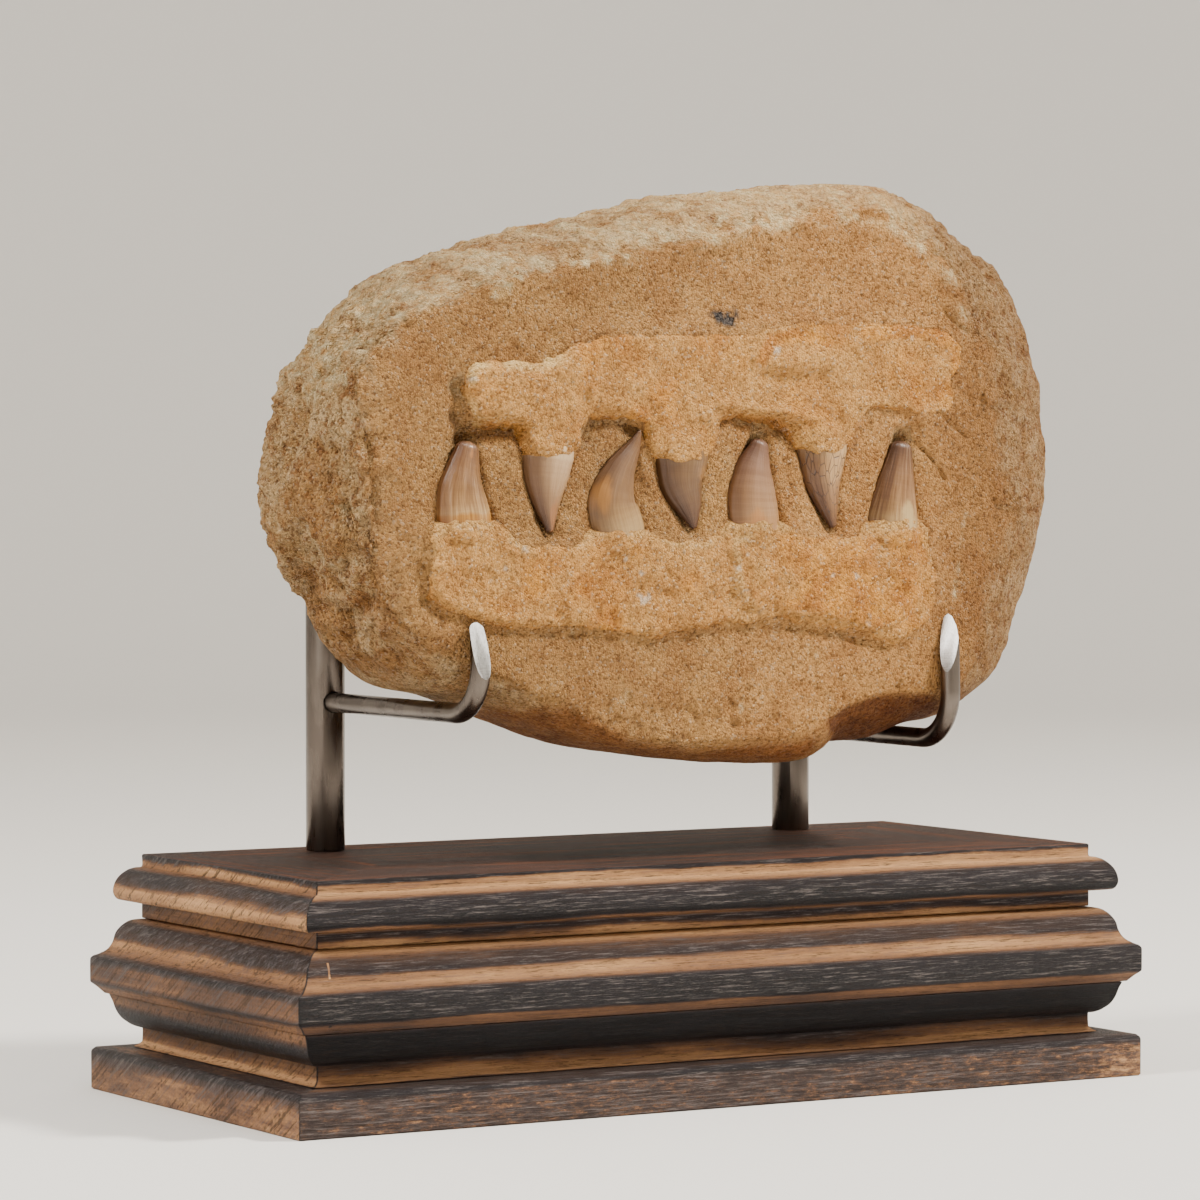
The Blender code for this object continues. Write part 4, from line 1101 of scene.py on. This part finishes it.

# How dark the front and the ends are at each height in millimetres, up to the top of the ramps:
# mostly how far they are charred, with near-black bands of painted shadow on the lower ovolo under
# the middle moulding and on the neck under the torus.
LEVELS = 0.0755
FRONT_CHAR_AND_SHADE = [(0, 0.6), (10.2, 0.62), (11.0, 0.86), (13.2, 0.7), (13.6, 0.36), (15.0, 0.3),
              (16.2, 0.42), (19.0, 0.62), (20.4, 1.05), (28.0, 1.0), (29.4, 0.56), (32.2, 0.48),
              (33.2, 1.0), (40.6, 0.86), (41.6, 0.42), (43.0, 0.32), (45.0, 0.36), (46.4, 0.7),
              (50.0, 0.6), (51.0, 0.4), (52.2, 0.26), (54.0, 0.36), (55.2, 0.7), (56.2, 0.85),
              (57.2, 0.42), (58.4, 0.5), (59.2, 1.0), (66.2, 0.8), (67.2, 0.4), (68.4, 0.2),
              (70.7, 0.32), (71.4, 0.85)]
END_CHAR_AND_SHADE = [(0, 0.36), (7.5, 0.42), (11.0, 0.8), (13.2, 0.8), (13.7, 0.3), (15.0, 0.24), (16.4, 0.4),
            (19.2, 0.5), (20.8, 1.0), (24.0, 0.85), (26.4, 0.5), (31.2, 0.46), (32.6, 0.7), (34.2, 0.5),
            (38.0, 0.54), (40.2, 0.86), (42.0, 0.44), (45.0, 0.34), (46.8, 0.66), (50.8, 0.76),
            (51.8, 0.46), (52.6, 0.4), (55.5, 0.46), (57.4, 0.52), (58.4, 0.3), (62.0, 0.24), (64.2, 0.62),
            (67.3, 0.78), (68.4, 0.36), (70.0, 0.24), (71.0, 0.55), (71.6, 0.85)]


def darkness_by_height(stops):
    """How dark the moulding is at each height: charred by the torch, with painted shadow under its
    overhangs.
    """
    wander = plus(tree, swing(tree, fibre, 0.02), swing(tree, patches, 0.035))
    ragged_end = swing(tree, scratches, times(tree, on_end, 0.028))
    level = plus(tree, maths(tree, "DIVIDE", parts[2], LEVELS), plus(tree, wander, ragged_end))
    return ramp(tree, level, [(height * MM / LEVELS, (share,) * 3 + (1,)) for height, share in stops])


char_and_shade = blend(tree, on_end, darkness_by_height(FRONT_CHAR_AND_SHADE), darkness_by_height(END_CHAR_AND_SHADE))
facing = add(tree, "NewGeometry", {}).outputs["Normal"]
facing = add(tree, "SeparateXYZ", {0: facing}).outputs[2]
on_top = times(tree, span(tree, facing, 0.9, 0.98), span(tree, parts[2], 0.0716, 0.0720))
rim = span(tree, maths(tree, "MAXIMUM", over_x, over_y), -0.004, -0.001)
top_char = minus(tree, span(tree, fibre, 0.36, 0.62, 0.5, 0.8), times(tree, rim, 0.12))
char_and_shade = blend(tree, on_top, char_and_shade, top_char)
fine = blend(tree, on_end, pores, hatch)
for clouds, reach in ((patches, 0.5), (fine, 0.6), (fibre, 0.35)):
    char_and_shade = plus(tree, char_and_shade, swing(tree, clouds, reach))
mitre = maths(tree, "ABSOLUTE", minus(tree, over_x, over_y))
mitre = times(tree, span(tree, mitre, 0.5 * MM, 0.2 * MM), minus(tree, 1.0, on_top))
char_and_shade = plus(tree, char_and_shade, times(tree, mitre, 0.35))
# The torch left the right end of the foot pale, and small burns along the front edges.
pale_end = times(tree, span(tree, parts[0], 0.120, 0.143), span(tree, parts[2], 0.012, 0.0105))
char_and_shade = minus(tree, char_and_shade, times(tree, pale_end, 0.3))
BURNS = ((-128.7, 63.6, 1.0), (-121.9, 63.3, 0.6), (-114.2, 63.5, 0.9), (-143.6, 34.2, 0.8),
         (-122.8, 36.4, 1.0), (-137.3, 31.8, 0.6), (-60, 62.5, 0.7), (22, 37.5, 1.1))
on_front = add(tree, "CombineXYZ", {0: parts[0], 2: parts[2]}).outputs[0]
for burn_x, burn_z, size in BURNS:
    middle = (burn_x * MM, 0, burn_z * MM)
    gap = add(tree, "VectorMath", {0: on_front, 1: middle}, operation="DISTANCE").outputs["Value"]
    char_and_shade = plus(tree, char_and_shade, span(tree, gap, size * MM, 0.3 * size * MM, 0, 0.4))
# A thin upright strip of pale filler near the left end of the middle moulding.
beside = maths(tree, "ABSOLUTE", plus(tree, parts[0], 0.1354))
above = maths(tree, "ABSOLUTE", minus(tree, parts[2], 0.0471))
filler = times(tree, span(tree, beside, 0.0004, 0.0002), span(tree, above, 0.0024, 0.002))
char_and_shade = minus(tree, char_and_shade, times(tree, filler, 0.35))
# The foot is rough from the saw: brown torn fibres on its front, greyer hatching on its ends.
torn = noise(tree, stretched(tree, board_way, (0.3, 1, 1)), 620, 4, 0.8)
on_foot = span(tree, parts[2], 0.0112, 0.0104)
sawn = times(tree, on_foot, span(tree, on_end, 0, 1, 1.9, 0.6))
char_and_shade = plus(tree, char_and_shade, times(tree, minus(tree, torn, 0.46), sawn))
TOASTED = [(0.06, (220, 176, 128)), (0.24, (194, 148, 102)), (0.38, (150, 108, 74)),
           (0.5, (104, 74, 54)), (0.64, (60, 46, 41)), (0.8, (34, 30, 34)), (1.0, (13, 12, 15))]
colour = ramp(tree, char_and_shade, [(share, paint(*chart)) for share, chart in TOASTED])
colour = coat(tree, colour, on_foot, 0.2, (112, 88, 74))
colour = coat(tree, colour, span(tree, fine, 0.49, 0.38), 0.8, (34, 24, 19))
# Painted sheen along the lines of the wire brush, least on the ends and on what faces down.
brush_sheen = times(tree, span(tree, fine, 0.5, 0.68), span(tree, char_and_shade, 0.5, 0.85, 0.16, 0.42))
brush_sheen = times(tree, brush_sheen, span(tree, facing, -0.35, 0.0, 0.1, 1))
brush_sheen = times(tree, brush_sheen, span(tree, on_end, 0, 1, 1, 0.6))
colour = blend(tree, brush_sheen, colour, paint(160, 147, 142))
colour = coat(tree, colour, on_top, 0.7, (220, 150, 96), "MULTIPLY")
tree.links.new(colour, surface.inputs["Base Color"])
satin = plus(tree, span(tree, char_and_shade, 0.1, 0.9, 0.62, 0.46), times(tree, on_top, 0.14))
tree.links.new(satin, surface.inputs["Roughness"])
relief = plus(tree, fine, times(tree, fibre, 0.8))
tree.links.new(bump(tree, relief, 0.75 * MM, 0.9), surface.inputs["Normal"])

for name, edge in BOARDS.items():
    widest = max(edge)[0]
    if name in CURVED:
        edge = [(min(offset, widest), height) for offset, height in smooth_path(edge, CURVED[name])]
    bpy.ops.object.select_all(action="DESELECT")
    bpy.ops.mesh.primitive_plane_add(size=1, location=(0, 0, edge[0][1] * MM))
    bpy.ops.object.transform_apply(location=True, rotation=False, scale=True)
    board = start(name.replace("_", "_wood_", 1))
    bpy.ops.object.mode_set(mode="EDIT")
    bpy.ops.mesh.select_all(action="SELECT")
    size = [(side + 2 * edge[0][0]) * MM for side in FIELD]
    bpy.ops.transform.resize(value=(size[0], size[1], 1), center_override=(0, 0, 0))
    for (offset, height), (last_offset, last_height) in zip(edge[1:], edge):
        extrude(0, 0, (height - last_height) * MM)
        grow = [(side + 2 * offset) / (side + 2 * last_offset) for side in FIELD]
        bpy.ops.transform.resize(value=(grow[0], grow[1], 1), center_override=(0, 0, height * MM))
    bpy.ops.mesh.select_all(action="SELECT")
    bpy.ops.mesh.normals_make_consistent(inside=False)
    bpy.ops.object.mode_set(mode="OBJECT")
    modify(board, "BEVEL", width=0.35 * MM, segments=3, limit_method="ANGLE", angle_limit=math.radians(50))
    bpy.ops.object.shade_smooth_by_angle(angle=math.radians(38))
    board.data.materials.append(wood_finish)
    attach(board, "root")
    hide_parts(name)

# Floor and light.
# A plain pale floor that curves up all round, a large soft light from the right, and weaker ones
# from the left and from above.
FLOOR_RADIUS = 2.3
FLOOR_CURVE = 1.2
WALL_RISE = 1.5
bpy.ops.object.select_all(action="DESELECT")
bpy.ops.mesh.primitive_circle_add(vertices=96, radius=FLOOR_RADIUS, fill_type="NGON")
floor = start("floor")
bpy.ops.object.mode_set(mode="EDIT")
bpy.ops.mesh.select_all(action="DESELECT")
bpy.ops.mesh.select_non_manifold()
radius, height = FLOOR_RADIUS, 0.0
for step in range(1, 13):
    angle = step / 12 * math.pi / 2
    new_radius = FLOOR_RADIUS + FLOOR_CURVE * math.sin(angle)
    new_height = FLOOR_CURVE * (1 - math.cos(angle))
    extrude(0, 0, new_height - height)
    grow = new_radius / radius
    bpy.ops.transform.resize(value=(grow, grow, 1), center_override=(0, 0, new_height))
    radius, height = new_radius, new_height
extrude(0, 0, WALL_RISE)
bpy.ops.object.mode_set(mode="OBJECT")
floor.data.shade_smooth()
floor_finish, tree, surface = new_material("pale_floor", Roughness=0.9, Specular_IOR_Level=0.1)
surface.inputs["Base Color"].default_value = paint(243, 241, 238)
floor.data.materials.append(floor_finish)


def soft_light(name, around, up, distance, size, power, colour=(1, 1, 1)):
    """A square soft box that looks at the stone from some degrees round and up."""
    around, up = math.radians(around), math.radians(up)
    spot = (distance * math.sin(around) * math.cos(up), -distance * math.cos(around) * math.cos(up),
            0.18 + distance * math.sin(up))
    bpy.ops.object.light_add(type="AREA", location=spot, rotation=(math.pi / 2 - up, 0, around))
    lamp = bpy.context.object
    lamp.name = name
    lamp.data.size = size
    lamp.data.energy = power
    lamp.data.color = colour


soft_light("key", 54, 43, 2.2, 0.3, 70, (1, 0.95, 0.86))
soft_light("high_left", -84, 44, 1.5, 0.24, 18, (1, 0.96, 0.9))
soft_light("left_fill", -70, 8, 1.5, 0.6, 1.6)
soft_light("top_fill", -10, 74, 1.5, 0.6, 5.5)
world = bpy.data.worlds.new("room")
bpy.context.scene.world = world
world.use_nodes = True
world.node_tree.nodes["Background"].inputs["Color"].default_value = (0.9, 0.93, 1, 1)
world.node_tree.nodes["Background"].inputs["Strength"].default_value = 0.11
